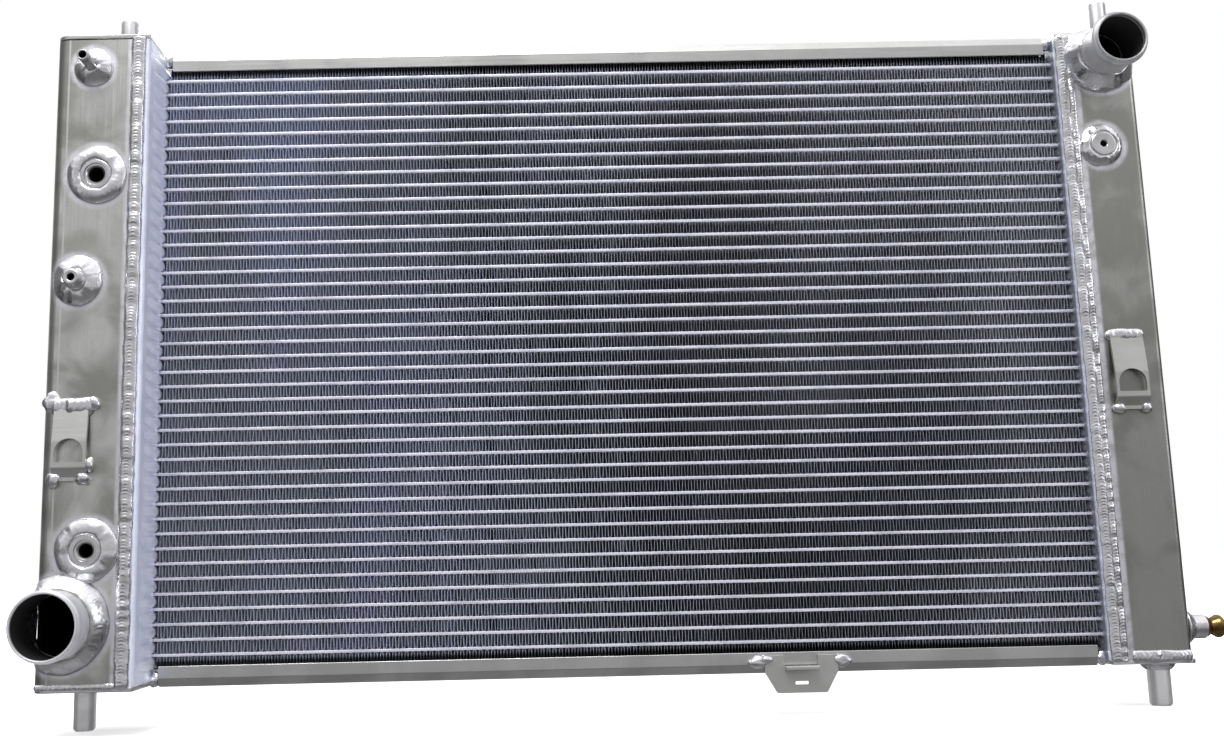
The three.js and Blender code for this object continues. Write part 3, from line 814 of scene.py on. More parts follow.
def add_header(tank, name):
    """A pan with a slot for each tube, and a raised collar round each slot on the core's side."""
    side = tank["side"]
    reach = np.max(np.abs([corner[0] for corner in box(name)]))
    web, bend = CORE_EDGE + HEADER_SHEET / 2, 3.2
    pan = channel(name, tank, reach, web, bend, HEADER_SHEET, INSIDE_HALF, 8)
    hole = stadium(0.2)
    slots, raised = [], []
    for index in range(TUBE_COUNT):
        z = tube_z(index)
        ends = sorted((side * (CORE_EDGE - 1), side * (CORE_EDGE + 2 * HEADER_SHEET)))
        slots.append(prism("slot", hole + (0, z), "x", *ends))
        raised.append(collar(side, z))
    for index in range(TUBE_COUNT + 1):
        raised.append(rib(tank, tube_z(index) + TUBE_PITCH / 2))
    pan = worked(pan, [merged("slots", slots)])
    mesh = merged(name, [pan, *raised])
    metal = left_header_metal if tank is LEFT else right_header_metal
    piece(name + "_plate", mesh, metal, [name], sharp=44)


def rib(tank, z):
    """A swelling pressed out of the header between two tubes. It rises slowly from the front."""
    rise_from = max(tank["front"] + 12, -28 if tank is RIGHT else -50)
    rise, fall, end, proud, half = (22 if tank is LEFT else 5), 7, 28, 2.6, 4.5
    depths = np.linspace(rise_from, end, 30)
    front = np.sin(np.clip((depths - rise_from) / rise, 0, 1) * math.pi / 2)
    rear = np.sqrt(np.clip(1 - (1 - np.clip((end - depths) / fall, 0, 1)) ** 2, 0, 1))
    swell = 0.03 + 0.97 * front * rear
    share = np.linspace(-1, 1, 9)
    rows, roots = [], []
    for y, size in zip(depths, swell):
        up = proud * size * (1 - share**2) ** 0.75
        spread = share * half * (0.5 + 0.5 * size)
        rows.append(np.column_stack([tank["side"] * (CORE_EDGE - up), np.full(9, y), z + spread]))
        roots.append((tank["side"] * (CORE_EDGE + 0.8), y, z))
    return sweep("rib", rows, roots)


def collar(side, z):
    """The small fillet of braze round one tube where it enters the header."""
    offset, round_size, proud = 0.5, 0.8, 0.9
    path = stadium(offset)
    rows = []
    for at, way in zip(path, path - stadium(offset - 1.0)):
        section = []
        for angle in np.radians(np.arange(0, 360, 45)):
            spread = at + way * round_size * math.cos(angle)
            section.append((side * (CORE_EDGE + 0.1 - proud * math.sin(angle)), spread[0], spread[1] + z))
        rows.append(section)
    return sweep("collar", rows, closed=True)


def front_bore(tank, node):
    """A round cutter through a tank's front face, at a fitting's place."""
    at, radius = middle(node), FITTINGS[node].hole
    at[1] = tank["front"] - 2 * SHEET
    return lathe("bore", [(0, 0), (radius, 0), (radius, -5 * SHEET), (0, -5 * SHEET)], at, FRONT, 48)


def add_tank(tank, name, material, bores):
    """The tank's bent shell. The left one stops a little lower, at the fine joint of its top plate."""
    start = np.min(np.abs([corner[0] for corner in box(name)]))
    joint = 0.8 if tank is LEFT else 0.0
    inset = SHEET / 2
    shell = channel(name, tank, start, tank["outer"] - inset, tank["bend"] - inset, SHEET,
                    INSIDE_HALF - joint, 10)
    piece(name + "_shell", worked(shell, bores, bevel=0.3), material, [name])


def add_end_plate(tank, node):
    low, high = box(node)
    inner = CORE_EDGE
    outer = max(abs(low[0]), abs(high[0]))
    bend, side = tank["bend"], tank["side"]
    corners = [
        (side * inner, tank["rear"], 1.5),
        (side * inner, tank["front"], 1.5),
        (side * outer, tank["front"], bend),
        (side * outer, tank["rear"], bend),
    ]
    mesh = prism(node, rounded(corners, 8), "z", low[2], high[2])
    piece(node + "_sheet", worked(mesh, bevel=0.5, segments=3), plate_sheet, [node])


def add_tanks():
    left_bores, right_bores = ([front_bore(tank, node) for node in on_tank(tank)] for tank in (LEFT, RIGHT))
    drain_at = middle("drain_boss")
    drain_at[0] = RIGHT["outer"] - 2 * SHEET
    radius, depth = 6.5, 4 * SHEET
    drain_bore = [(0, 0), (radius, 0), (radius, depth), (0, depth)]
    right_bores.append(lathe("bore", drain_bore, drain_at, RIGHT_WAY, 48))
    add_tank(LEFT, "left_tank", left_sheet, left_bores)
    add_tank(RIGHT, "right_tank", right_sheet, right_bores)
    add_header(LEFT, "left_header")
    add_header(RIGHT, "right_header")
    for tank, name in ((LEFT, "left_tank"), (RIGHT, "right_tank")):
        for where in ("top", "bottom"):
            add_end_plate(tank, f"{name}_{where}_plate")


# Welds.


# How far a ripple's edges trail behind its middle, as a share of the weld's width.
RIPPLE_SAG = 0.5


def wander(rng, count, knots, closed=False):
    """A smooth random line of `count` values between about -1 and 1."""
    knots = max(int(knots), 3)
    values = rng.uniform(-1, 1, knots + 1)
    if closed:
        values[-1] = values[0]
    at = np.linspace(0, knots, count, endpoint=not closed)
    low = np.minimum(at.astype(int), knots - 1)
    share = at - low
    share = share * share * (3 - 2 * share)
    return values[low] * (1 - share) + values[low + 1] * share


def weld(name, first, second, out, roots, height, seed, pitch=3.2, uneven=0.5, ends=0.0, ripple=0.3):
    """A weld between two toe lines, laid in overlapping ripples. `out` points away from the metal, and
    `roots` lie under it. A ring's lines close on themselves; other welds taper over `ends` millimetres.
    `ripple` is how far one ripple stands over the next."""
    closed = ends == 0.0
    rng = np.random.default_rng(seed)
    count = len(first)
    line = (first + second) / 2
    steps = np.linalg.norm(np.diff(line, axis=0, append=line[:1]), axis=1)
    if not closed:
        steps[-1] = steps[-2]
    along = np.concatenate([[0], np.cumsum(steps)[:-1]])
    length = steps.sum()
    ripples = max(int(length / pitch), 4)
    columns = 13
    share = np.linspace(0, 1, columns)
    width = np.linalg.norm(second - first, axis=1)
    sag = (2 * share[None, :] - 1) ** 2 * width[:, None] * RIPPLE_SAG
    phase = (along[:, None] + sag) * ripples / length + wander(rng, count, ripples, closed)[:, None] * 0.28
    cell = np.floor(phase).astype(int) % ripples
    rise = phase - np.floor(phase)
    step = np.sin(math.pi * rise**0.8) ** 0.8 - 0.5
    size = rng.uniform(0.45, 1.25, ripples)[cell]
    dome = (1 - np.abs(2 * share - 1) ** 2.1) ** 0.6
    lumps = 1 + uneven * 0.55 * wander(rng, count, length / 9, closed) + uneven * 0.3 * wander(
        rng, count, length / 3.5, closed)
    rough = np.column_stack([wander(rng, count, length / 2.2, closed) for _ in range(columns)])
    body = dome * (height * lumps[:, None] + ripple * size * step + 0.14 * rough * uneven)
    spread = 1 + 0.10 * uneven * np.column_stack([wander(rng, count, length / 5, closed) for _ in range(2)])
    centre = line[:, None, :]
    sides = np.where(share[None, :, None] < 0.5, spread[:, :1, None], spread[:, 1:, None])
    points = first[:, None, :] * (1 - share[None, :, None]) + second[:, None, :] * share[None, :, None]
    if not closed:
        from_end = np.minimum(along, along[-1] - along)
        taper = np.sqrt(np.clip(1 - (1 - np.clip(from_end / ends, 0, 1)) ** 2, 0.02, 1))
        sides = sides * taper[:, None, None]
        body = body * taper[:, None]
    points = centre + (points - centre) * sides + out[:, None, :] * body[:, :, None]
    mesh = sweep(name, points, roots, closed)
    mesh.shade_smooth()
    return piece(name, mesh, weld_metal, sharp=0)


def seam(name, start, end, across, out, width, height, seed, **more):
    """A straight weld on a flat surface or along a corner."""
    start, end, across, out = (np.asarray(v, float) for v in (start, end, across, out))
    across, out = across / np.linalg.norm(across), out / np.linalg.norm(out)
    count = max(int(np.linalg.norm(end - start) / 0.5), 8)
    share = np.linspace(0, 1, count)[:, None]
    line = start + (end - start) * share
    outs = np.repeat(out[None], count, axis=0)
    more.setdefault("ends", 2.5)
    first, second = line - across * width / 2, line + across * width / 2
    return weld(name, first, second, outs, line - out * 0.8, height, seed, **more)


def face_y(tank, x):
    """Depth of a tank's front surface at x, where the sheet turns round its bend too."""
    flat_to = tank["outer"] - tank["bend"]
    past = np.clip(np.abs(x) - flat_to, 0, tank["bend"] * 0.995)
    return tank["front"] + tank["bend"] - np.sqrt(tank["bend"] ** 2 - past**2)


def ring_weld(node, seed):
    """A weld round a fitting on a tank's front face. Its toe stays on the tank."""
    tank, _, _, foot_radius, climb, outer_radius, bulge, uneven = FITTINGS[node]
    pitch = 3.4
    rng = np.random.default_rng(seed + 7)
    centre = middle(node)
    count = int(2 * math.pi * outer_radius / 0.55)
    angles = np.linspace(0, 2 * math.pi, count, endpoint=False)
    ways = np.column_stack([np.cos(angles), np.sin(angles)])
    outer = outer_radius * (1 + 0.05 * uneven * wander(rng, count, 9, True))
    toe = centre[[0, 2]] + ways * outer[:, None]
    toe[:, 0] = tank["side"] * np.clip(np.abs(toe[:, 0]), CORE_EDGE + 1, tank["outer"] - 0.2)
    toe[:, 1] = np.clip(toe[:, 1], 0.6 - TANK_HALF, TANK_HALF - 0.6)
    wall = centre[[0, 2]] + ways * foot_radius
    climbs = climb * (1 + 0.22 * uneven * wander(rng, count, 11, True))
    first = np.column_stack([wall[:, 0], tank["front"] - climbs, wall[:, 1]])
    second = np.column_stack([toe[:, 0], face_y(tank, toe[:, 0]) + 0.1, toe[:, 1]])
    chord = second - first
    around = np.column_stack([-ways[:, 1], np.zeros(count), ways[:, 0]])
    out = np.cross(chord, around)
    out /= np.linalg.norm(out, axis=1)[:, None]
    out *= -np.sign(out[:, 1:2])
    inside = centre[[0, 2]] + ways * (foot_radius - 0.4)
    reach = np.clip(np.abs(inside[:, 0]), 0, tank["outer"] - 0.5)
    roots = np.column_stack([inside[:, 0], face_y(tank, reach) + 0.5, inside[:, 1]])
    ripple = 0.06 if node.endswith("oil_port") else 0.14
    return weld(node + "_weld", first, second, out, roots, bulge, seed, pitch, uneven, ripple=ripple)


def base_weld(name, at, out, foot_radius, climb, spread, bulge, seed):
    """A weld round a bar or a boss that stands on a flat surface."""
    side, up = basis(out)
    count = int(2 * math.pi * (foot_radius + spread) / 0.5)
    angles = np.linspace(0, 2 * math.pi, count, endpoint=False)
    ways = np.cos(angles)[:, None] * side + np.sin(angles)[:, None] * up
    first = at + ways * foot_radius + out * climb
    second = at + ways * (foot_radius + spread) - out * 0.05
    outwards = ways * climb + out * spread
    outwards /= np.linalg.norm(outwards, axis=1)[:, None]
    roots = at + ways * (foot_radius - 0.4) - out * 0.4
    return weld(name, first, second, outwards, roots, bulge, seed, pitch=2.8, uneven=0.6)


def blob(name, at, size, seed):
    """A lump of weld metal, `size` giving its half lengths."""
    rng = np.random.default_rng(seed)
    lumps = 0.16
    bm = bmesh.new()
    bmesh.ops.create_icosphere(bm, subdivisions=4, radius=1.0)
    ways = rng.normal(size=(9, 3))
    turns = rng.uniform(0, 2 * math.pi, 9)
    for vertex in bm.verts:
        spot = np.array(vertex.co)
        waves = np.sin(ways @ spot * 2.4 + turns)
        grown = 1 + lumps * waves.mean() * 2 + 0.03 * np.sin(ways[:3] @ spot * 9 + turns[:3]).mean()
        vertex.co = Vector((spot * grown * size + at + CORE_CENTRE) * MM)
    mesh = bpy.data.meshes.new(name)
    bm.to_mesh(mesh)
    bm.free()
    mesh.shade_smooth()
    return piece(name, mesh, weld_metal, sharp=0)


def add_tank_seams():
    """Where each tank meets its header, in front and behind, and where the end plates are welded on."""
    reach = TANK_HALF - 1.5
    low, high = np.array([0, 0, -reach]), np.array([0, 0, reach])
    runs = [
        ("left_front_seam", LEFT, -348.0, "front", 10.6, 2.3, 0.6),
        ("left_rear_seam", LEFT, -348.0, "rear", 9.0, 1.5, 0.8),
        ("right_front_flange_seam", RIGHT, 343.6, "front", 9.0, 0.9, 1.0),
        ("right_front_seam", RIGHT, 348.8, "front", 6.0, 1.9, 0.8),
        ("right_rear_seam", RIGHT, 348.0, "rear", 9.0, 1.5, 0.8),
    ]
    for seed, (name, tank, x, face, width, height, uneven) in enumerate(runs, 100):
        place = np.array([x, tank[face], 0])
        out = FRONT if face == "front" else REAR
        seam(name, place + low, place + high, RIGHT_WAY, out, width, height, seed, uneven=uneven, pitch=2.3,
             ripple=0.5)


def add_plate_seams():
    edge = TANK_HALF - SHEET
    corners = [(tank, way) for tank in (LEFT, RIGHT) for way in (1, -1)]
    for seed, (tank, way) in enumerate(corners, 200):
        name = f"{'left' if tank is LEFT else 'right'}_{'top' if way > 0 else 'bottom'}"
        side, outer, bend = tank["side"], tank["outer"], tank["bend"]
        overhang = tank is RIGHT
        z = way * (edge - (1.2 if overhang else 0))
        inner_x, outer_x = side * (CORE_EDGE + 14), side * (outer - bend)
        rear = np.array([inner_x, tank["rear"], z]), np.array([outer_x, tank["rear"], z])
        seam(f"{name}_rear_plate_seam", *rear, UP, REAR, 5.5, 1.1, seed)
        flank_out = RIGHT_WAY * side
        flank = [np.array([side * outer, y, z]) for y in (tank["front"] + bend, tank["rear"] - bend)]
        seam(f"{name}_flank_plate_seam", *flank, UP, flank_out, 5.5, 1.3, seed + 10)


def add_front_plate_seams():
    """The end plates' welds on the front faces. The left tank's top one is only a fine closed joint."""
    front = LEFT["front"]
    bottom = 0.7 - TANK_HALF + SHEET
    seam("left_bottom_front_plate_seam", (-407, front + 0.6, bottom), (-352, front, bottom), UP, FRONT,
         4.6, 0.9, 240)
    front = RIGHT["front"]
    seam("right_bottom_front_plate_seam", (354, front, -229.6), (397, front, -229.6), UP, FRONT, 8.6, 1.2,
         241, uneven=1.0)
    seam("right_top_front_plate_seam", (341, front, 231.5), (355, front, 231), UP, FRONT, 6.5, 1.6, 242,
         uneven=1.0)


def add_welds():
    add_tank_seams()
    add_plate_seams()
    add_front_plate_seams()
    for seed, node in enumerate(FITTINGS, 300):
        ring_weld(node, seed)


# What stands on the tanks.


def footing(node):
    """The middle of the foot of a fitting on a tank's front, its radius and its length."""
    low, high = box(node)
    centre = (low + high) / 2
    return np.array([centre[0], high[1], centre[2]]), (high[0] - low[0]) / 2, high[1] - low[1]


def add_neck(node, metal, bead):
    """A hose neck: a tube with a rolled bead near its mouth."""
    at, radius, length = footing(node)
    radius -= bead
    wall, bead_from_mouth = 1.8, 5.0
    roll = length - bead_from_mouth
    outside = [(radius, 0), (radius, roll - 3.2), *turn_arc(radius - 1.2, roll, bead + 1.2, -68, 68, 12)]
    lip = turn_arc(radius - wall / 2, length - wall / 2, wall / 2, 0, 180, 8)
    bore = radius - wall
    inside = [(bore, length - 1), (bore, roll + 3), (bore + bead * 0.7, roll), (bore, roll - 3), (bore, 0)]
    profile = [*outside, (radius, roll + 3.2), *lip, *inside, (radius, 0)]
    piece(node + "_pipe", lathe(node, profile, at, FRONT, 112), metal, [node])


def add_nipple():
    at, radius, length = footing("vent_nipple")
    wall = 1.25
    bore = radius - wall
    lip = turn_arc(radius - 0.5, length - 0.5, 0.5, 0, 90) + turn_arc(bore + 0.4, length - 0.4, 0.4, 90, 180)
    profile = [(bore, 0), (radius, 0), (radius, length - 4.6), (radius - 0.35, length - 4.2), *lip, (bore, 0)]
    mesh = lathe("vent_nipple", profile, at, FRONT, 56)
    piece("vent_nipple_pipe", mesh, nipple_metal, ["vent_nipple"])


def add_boss(node, tip):
    at, base, height = footing(node)
    bore = 2.4
    crown = turn_arc(tip - 1.4, height - 1.4, 1.4, 10, 90, 5)
    mouth = [(bore + 0.7, height), (bore, height - 0.8)]
    profile = [(bore, 0), (base, 0), (base, 0.5), *crown, *mouth, (bore, 0)]
    piece(node + "_body", lathe(node, profile, at, FRONT, 72), boss_metal, [node])


def add_port(node, bore):
    """An oil port: a ring with a stepped mouth and a threaded bore."""
    at, radius, length = footing(node)
    rim = turn_arc(radius - 0.8, length - 0.8, 0.8, 0, 90)
    step = [(bore + 2.9, length), (bore + 2.6, length - 0.4), (bore + 2.5, length - 1.2)]
    mouth = [*step, (bore + 1.5, length - 1.3), (bore + 1.3, length - 1.5), (bore + 0.2, length - 2.6)]
    thread = []
    pitch, depth = 1.25, 0.45
    for turn in range(7):
        top = length - 2.8 - turn * pitch
        thread += [(bore, top), (bore + depth, top - pitch / 2)]
    profile = [(bore, 0), (radius - 1, 0), (radius, 1), *rim, *mouth, *thread, (bore, 0)]
    piece(node + "_ring", lathe(node, profile, at, FRONT, 72), boss_metal, [node], sharp=30)


def add_clip(node, metal):
    """A strap bent off the tank's face, with an arched window."""
    low, high = box(node)
    x, _, z = (low + high) / 2
    half_width, half = (high[0] - low[0]) / 2, (high[2] - low[2]) / 2
    back, proud, sheet = high[1], high[1] - low[1] - 1.8, 2.3
    inset, top = sheet / 2, back - proud
    line = [
        (back - inset, z + half),
        (back - inset, z + half - 1.5, 1.4),
        (top + inset, z + half - 27, 12.0),
        (top + inset, z - half + 9, 2.5),
        (back - inset, z - half + 3, 2.0),
        (back - inset, z - half),
    ]
    strap = prism(node, ribbon(line, sheet, 5), "x", x - half_width, x + half_width)
    arch_half, arch_top, arch_foot = 10.0, z + 2.3, z - 14.2
    window = rounded([
        (x - arch_half, arch_foot, 0.8), (x + arch_half, arch_foot, 0.8),
        (x + arch_half, arch_top, arch_half * 0.98), (x - arch_half, arch_top, arch_half * 0.98),
    ], 12)
    cutter = prism("window", window, "y", back - 2 * proud, back - 0.2)
    piece(node + "_strap", worked(strap, [cutter], bevel=0.35), metal, [node])


def add_lower_bracket():
    low, high = box("lower_bracket")
    centre = (low[0] + high[0]) / 2
    half, sheet = (high[0] - low[0]) / 2, 2.5
    bottom_half, kink, notch_half, notch_depth = 17.6, high[2] - 11.5, 12.0, 7.5
    notch = high[2] - notch_depth
    corners = [
        (centre - half, high[2], 0.5), (centre - half, kink, 2), (centre - bottom_half, low[2], 1.5),
        (centre + bottom_half, low[2], 1.5), (centre + half, kink, 2), (centre + half, high[2], 0.5),
        (centre + notch_half, high[2], 0.5), (centre + notch_half, notch, 0.6),
        (centre - notch_half, notch, 0.6), (centre - notch_half, high[2], 0.5),
    ]
    back = high[1]
    plate = prism("plate", rounded(corners, 5), "y", back - sheet, back)
    slot_half, slot_top, slot_bottom = 4.8, high[2] - 18.0, high[2] - 20.4
    slot = rounded([
        (centre - slot_half, slot_bottom, 0.8), (centre + slot_half, slot_bottom, 0.8),
        (centre + slot_half, slot_top, 0.8), (centre - slot_half, slot_top, 0.8),
    ], 4)
    cutter = prism("slot", slot, "y", back - 3 * sheet, back + sheet)
    plate = worked(plate, [cutter], bevel=0.35)
    lip_line = [
        (back - sheet / 2, notch - 6),
        (back - sheet / 2, notch - 1.3, 1.8),
        (low[1], notch - 1.3),
    ]
    lip = prism("lip", ribbon(lip_line, sheet, 6), "x", centre - notch_half + 0.1, centre + notch_half - 0.1)
    mesh = merged("lower_bracket", [plate, worked(lip, bevel=0.35)])
    piece("lower_bracket_plate", mesh, bracket_sheet, ["lower_bracket"])


def add_pins():
    pins = [f"{level}_{hand}_pin" for level in ("upper", "lower") for hand in ("left", "right")]
    for seed, node in enumerate(pins, 500):
        low, high = box(node)
        x, y, _ = (low + high) / 2
        radius, length = (high[0] - low[0]) / 2, high[2] - low[2]
        upper = node.startswith("upper")
        at, out = np.array([x, y, low[2] if upper else high[2]]), UP if upper else -UP
        tip = [(radius - 0.1, length - 2.0), *turn_arc(radius - 1.9, length - 0.6, 0.6, 60, 90, 3)]
        profile = [(0, 0), (radius, 0), (radius, length * 0.35), *tip, (0, length)]
        piece(node + "_bar", lathe(node, profile, at, out), pin_metal, [node])
        climb, spread = (4.5, 4.0) if node == "lower_right_pin" else (2.6, 2.8)
        base_weld(node + "_weld", at, out, radius - 0.05, climb, spread, 0.7, seed)


def flank_foot(node):
    """The middle of the foot of a part that stands on the right tank's flank, and its length."""
    low, high = box(node)
    centre = (low + high) / 2
    return np.array([low[0], centre[1], centre[2]]), high[0] - low[0]


def add_drain():
    at, length = flank_foot("drain_boss")
    radius, bore = 8.4, 6.4
    rim = turn_arc(radius - 1, length - 1, 1, 0, 90, 5)
    mouth = [(bore + 0.6, length), (bore, length - 0.6)]
    profile = [(bore, 0), (radius + 1, 0), (radius, 2), *rim, *mouth, (bore, 0)]
    mesh = lathe("drain_boss", profile, at, RIGHT_WAY)
    piece("drain_boss_body", mesh, drain_metal, ["drain_boss"])
    base_weld("drain_boss_weld", at, RIGHT_WAY, radius + 0.05, 6.5, 5.2, 0.3, 520)
    seal_at, seal_width = flank_foot("drain_seal")
    seal_bore, seal_radius = 4.3, 6.1
    half = seal_width / 2
    ring = turn_arc((seal_bore + seal_radius) / 2, half, half * 0.7, 0, 360, 16)
    ring[-1] = ring[0]
    piece("drain_seal_ring", lathe("drain_seal", ring, seal_at, RIGHT_WAY, 48), rubber,
          ["drain_seal"], body="drain_travel")
    add_cock()


def add_cock():
    """The brass screw: a threaded stem in the boss, a waist, and a rounded head with a slot."""
    low, high = box("drain_cock")
    at, total = flank_foot("drain_cock")
    boss_end = box("drain_boss")[1][0] - low[0]
    head = (high[1] - low[1]) / 2
    shoulder = boss_end + 0.3
    thread = []
    for turn in range(3):
        thread += [(5.6, boss_end - 2.7 + turn * 0.9), (6.0, boss_end - 2.25 + turn * 0.9)]
    crown = turn_arc(head - 3.2, total - 3.2, 3.2, -20, 90, 10)
    profile = [
        (0, 0), (3.6, 0), (4.0, 0.4), (4.0, boss_end - 3), *thread, (6.0, shoulder), (7.0, shoulder),
        (7.2, shoulder + 0.3), (7.2, shoulder + 1.3), (6.9, shoulder + 1.7), (5.7, shoulder + 3.0),
        (5.5, shoulder + 3.8), (5.9, shoulder + 4.6), (7.3, total - 5.2), *crown, (0, total),
    ]
    body = lathe("drain_cock", profile, at, RIGHT_WAY)
    slot_half, slot_depth = 0.9, 2.2
    slot = prism("slot", [(-head - 2, -slot_half), (head + 2, -slot_half), (head + 2, slot_half),
                          (-head - 2, slot_half)] + at[[1, 2]], "x", high[0] - slot_depth, high[0] + 2)
    piece("drain_cock_screw", worked(body, [slot], bevel=0.12), brass, ["drain_cock"],
          body="drain_cock")


CLIP_WELDS = (
    # tank, its front seam from and to (x, z), width, height, unevenness, seed,
    # then for each lump: x, y and z from the strap, at its top (1) or its foot (0), and half lengths
    (LEFT, "left_clip", (-15, -3), (16, -2), 14, 3.2, 0.8, 601, (
        (-14, 0, 1, 1, (6.5, 3.2, 7.5)),
        (14, 0, -0.5, 1, (6.0, 3.0, 5.5)),
        (-11, -1, 1, 0, (5.2, 4.5, 6.0)),
        (9, -1, 1.5, 0, (5.0, 4.5, 5.0)),
        (13.5, 0, 11, 0, (3.6, 4.0, 5.5)),
    )),
    (RIGHT, "right_clip", (-15, 0.5), (14, 1), 10, 3.0, 1.0, 611, (
        (10, -1, 1, 0, (4.6, 4.0, 4.0)),
        (-9, -1, 1, 0, (5.0, 4.0, 4.5)),
    )),
)


def add_clip_welds(tank, name, start, end, width, height, uneven, seed, lumps):
    front, corners = tank["front"], box(name + "_bracket")
    x, top = middle(name + "_bracket")[0], corners[1][2]
    first, last = ((x + along, front - 0.3, top + rise) for along, rise in (start, end))
    seam(name + "_top_weld", first, last, UP, (0, -1, 0.3), width, height, seed, uneven=uneven, ends=6,
         pitch=4.5)
    for index, (along, depth, rise, level, size) in enumerate(lumps):
        at = (x + along, front + depth, corners[level][2] + rise)
        blob(f"{name}_lump_{'abcde'[index]}", at, size, seed + 1 + index)


def add_bracket_welds():
    """The lumps that hold the two clip straps and the lower bracket, and close the side plates' ends."""
    for row in CLIP_WELDS:
        add_clip_welds(*row)
    low, high = box("lower_bracket")
    y = high[1] - 0.8
    blob("lower_bracket_lump_a", (low[0] - 4.5, y, high[2] - 4.5), (6.5, 3.0, 4.5), 621)
    blob("lower_bracket_lump_b", (low[0] + 1.0, y - 1.6, high[2] - 2.5), (4.5, 2.6, 2.8), 622)
    blob("lower_bracket_lump_c", (high[0] + 3.5, y, high[2] - 4.0), (6.5, 3.0, 5.0), 623)
    low, high = box("top_side_plate")
    for seed, (side, up, face) in enumerate(
        ((s, u, f) for s in (-1, 1) for u in (-1, 1) for f in (-1, 1)), 640
    ):
        at = (side * (high[0] + 3.2), face * (high[1] - 4), up * (high[2] - 5.5))
        name = f"side_plate_{'left' if side < 0 else 'right'}_{'top' if up > 0 else 'bottom'}"
        blob(f"{name}_{'front' if face < 0 else 'rear'}_tack", at, (5.0, 4.2, 5.2), seed)


def add_fittings():
    add_neck("inlet_neck", inlet_metal, bead=1.7)
    add_neck("outlet_neck", outlet_metal, bead=1.0)
    add_nipple()
    add_boss("left_bleed_boss", 6.0)
    add_boss("right_bleed_boss", 9.5)
    add_port("upper_oil_port", 5.5)
    add_port("lower_oil_port", 4.8)
    add_clip("left_clip_bracket", bracket_sheet)
    # The right clip takes the darker copy of the bracket sheet, as painted shade.
    add_clip("right_clip_bracket", shaded_bracket_sheet)
    add_lower_bracket()
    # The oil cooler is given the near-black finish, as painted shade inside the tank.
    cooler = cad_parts["oil_cooler"]
    for slot in cooler.material_slots:
        slot.material = cooler_sheet


# The room: floor, lights, camera.


def add_floor():
    half = 14.0
    mesh = bpy.data.meshes.new("floor")
    corners = [(-half, -half, 0), (half, -half, 0), (half, half, 0), (-half, half, 0)]
    mesh.from_pydata(corners, [], [[0, 1, 2, 3]])
    mesh.materials.append(floor_finish())
    floor = linked("floor", mesh)
    floor.visible_glossy = False


# Brightness of the surroundings at shares of the way from below to above, and from left to right.
HEIGHT_TONES = (
    (0.0, 0.3), (0.1, 0.18), (0.25, 0.1), (0.34, 0.16), (0.42, 0.36), (0.55, 0.44), (0.7, 0.44),
    (0.82, 0.85), (1.0, 1.1),
)
SIDE_TONES = (
    (0.0, 0.3), (0.1, 0.35), (0.15, 1.7), (0.2, 1.0), (0.8, 1.0), (0.84, 1.7), (0.89, 0.35), (1.0, 0.3),
)


def tones_along(room, direction, tones, blue=1.0):
    """Tones that follow one number of a direction, from -1 to 1."""
    share = room.node("MapRange", {0: direction, 1: -1.0, 2: 1.0}).outputs[0]
    ramp = room.node("ValToRGB", {0: share})
    while len(ramp.color_ramp.elements) < len(tones):
        ramp.color_ramp.elements.new(0.5)
    for stop, (at, tone) in zip(ramp.color_ramp.elements, tones):
        stop.position, stop.color = at, (tone, tone, tone * blue, 1)
    return ramp.outputs[0]


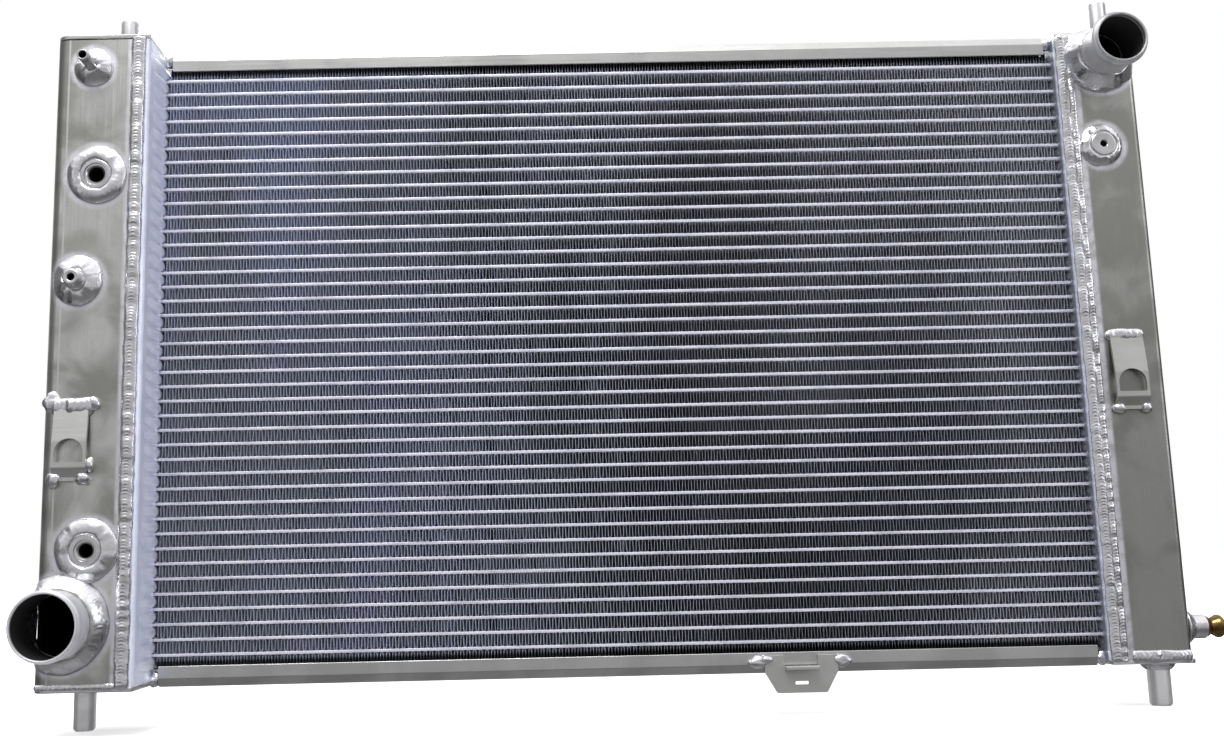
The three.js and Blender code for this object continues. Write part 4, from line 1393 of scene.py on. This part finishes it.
def add_world():
    """Soft grey surroundings, darker below and brighter above, with a bright and a dark screen at each
    side, on a white ground."""
    world = bpy.data.worlds.new("room")
    bpy.context.scene.world = world
    world.use_nodes = True
    world.node_tree.nodes.clear()
    room = Nodes(world.node_tree)
    split = room.node("SeparateXYZ", {0: room.node("TexCoord").outputs["Generated"]}).outputs
    heights = tones_along(room, split["Z"], HEIGHT_TONES, blue=1.03)
    sides = tones_along(room, split["X"], SIDE_TONES)
    around = room.node("VectorMath", {0: heights, 1: sides}, operation="MULTIPLY").outputs[0]
    seen = room.node("LightPath").outputs["Is Camera Ray"]
    lit = room.node("Background", {"Color": around}).outputs[0]
    white = room.node("Background", {"Color": (1, 1, 1, 1)}).outputs[0]
    shown = room.node("MixShader", {0: seen, 1: lit, 2: white}).outputs[0]
    room.node("OutputWorld", {0: shown})


def add_light(name, at, size, power, colour=(1, 1, 1)):
    """A soft rectangular lamp that faces the middle of the radiator."""
    data = bpy.data.lights.new(name, "AREA")
    data.shape, data.size, data.size_y = "RECTANGLE", *size
    data.energy, data.color = power, colour
    lamp = linked(name, data)
    lamp.location = Vector(at)
    centre = Vector(CORE_CENTRE * MM)
    lamp.rotation_euler = (centre - lamp.location).to_track_quat("-Z", "Y").to_euler()


def add_lights():
    add_light("key", (-0.5, -1.1, 2.6), (1.4, 0.7), 26)
    add_light("flash", (-0.4, -1.3, 2.0), (0.3, 0.3), 7)
    add_light("side", (2.0, -1.0, 0.9), (0.6, 1.4), 5, (0.93, 0.94, 1.0))
    add_light("behind", (-0.6, 2.0, 1.8), (1.6, 0.8), 24)


CAMERA_AT = (-0.0669, -0.9628, 0.1094)
CAMERA_TURN, CAMERA_TILT, CAMERA_ROLL = -0.476, 9.574, -1.290
CAMERA_LENS = 38.615
CAMERA_SHIFT = (0.0643, -0.0210)


def add_camera():
    data = bpy.data.cameras.new("camera")
    data.sensor_width, data.lens = 36.0, CAMERA_LENS
    data.shift_x, data.shift_y = CAMERA_SHIFT
    data.clip_start, data.clip_end = 0.05, 60.0
    camera = linked("camera", data)
    turn = Matrix.Rotation(math.radians(CAMERA_TURN), 4, "Z")
    tilt = Matrix.Rotation(math.radians(90 + CAMERA_TILT), 4, "X")
    roll = Matrix.Rotation(math.radians(CAMERA_ROLL), 4, "Z")
    camera.matrix_world = Matrix.Translation(CAMERA_AT) @ turn @ tilt @ roll
    bpy.context.scene.camera = camera


add_camera()
add_world()
add_lights()
add_floor()
bpy.context.scene.view_settings.view_transform = "Standard"

add_tubes()
add_fins()
add_side_plates()
add_tanks()
add_fittings()
add_pins()
add_drain()
add_welds()
add_bracket_welds()
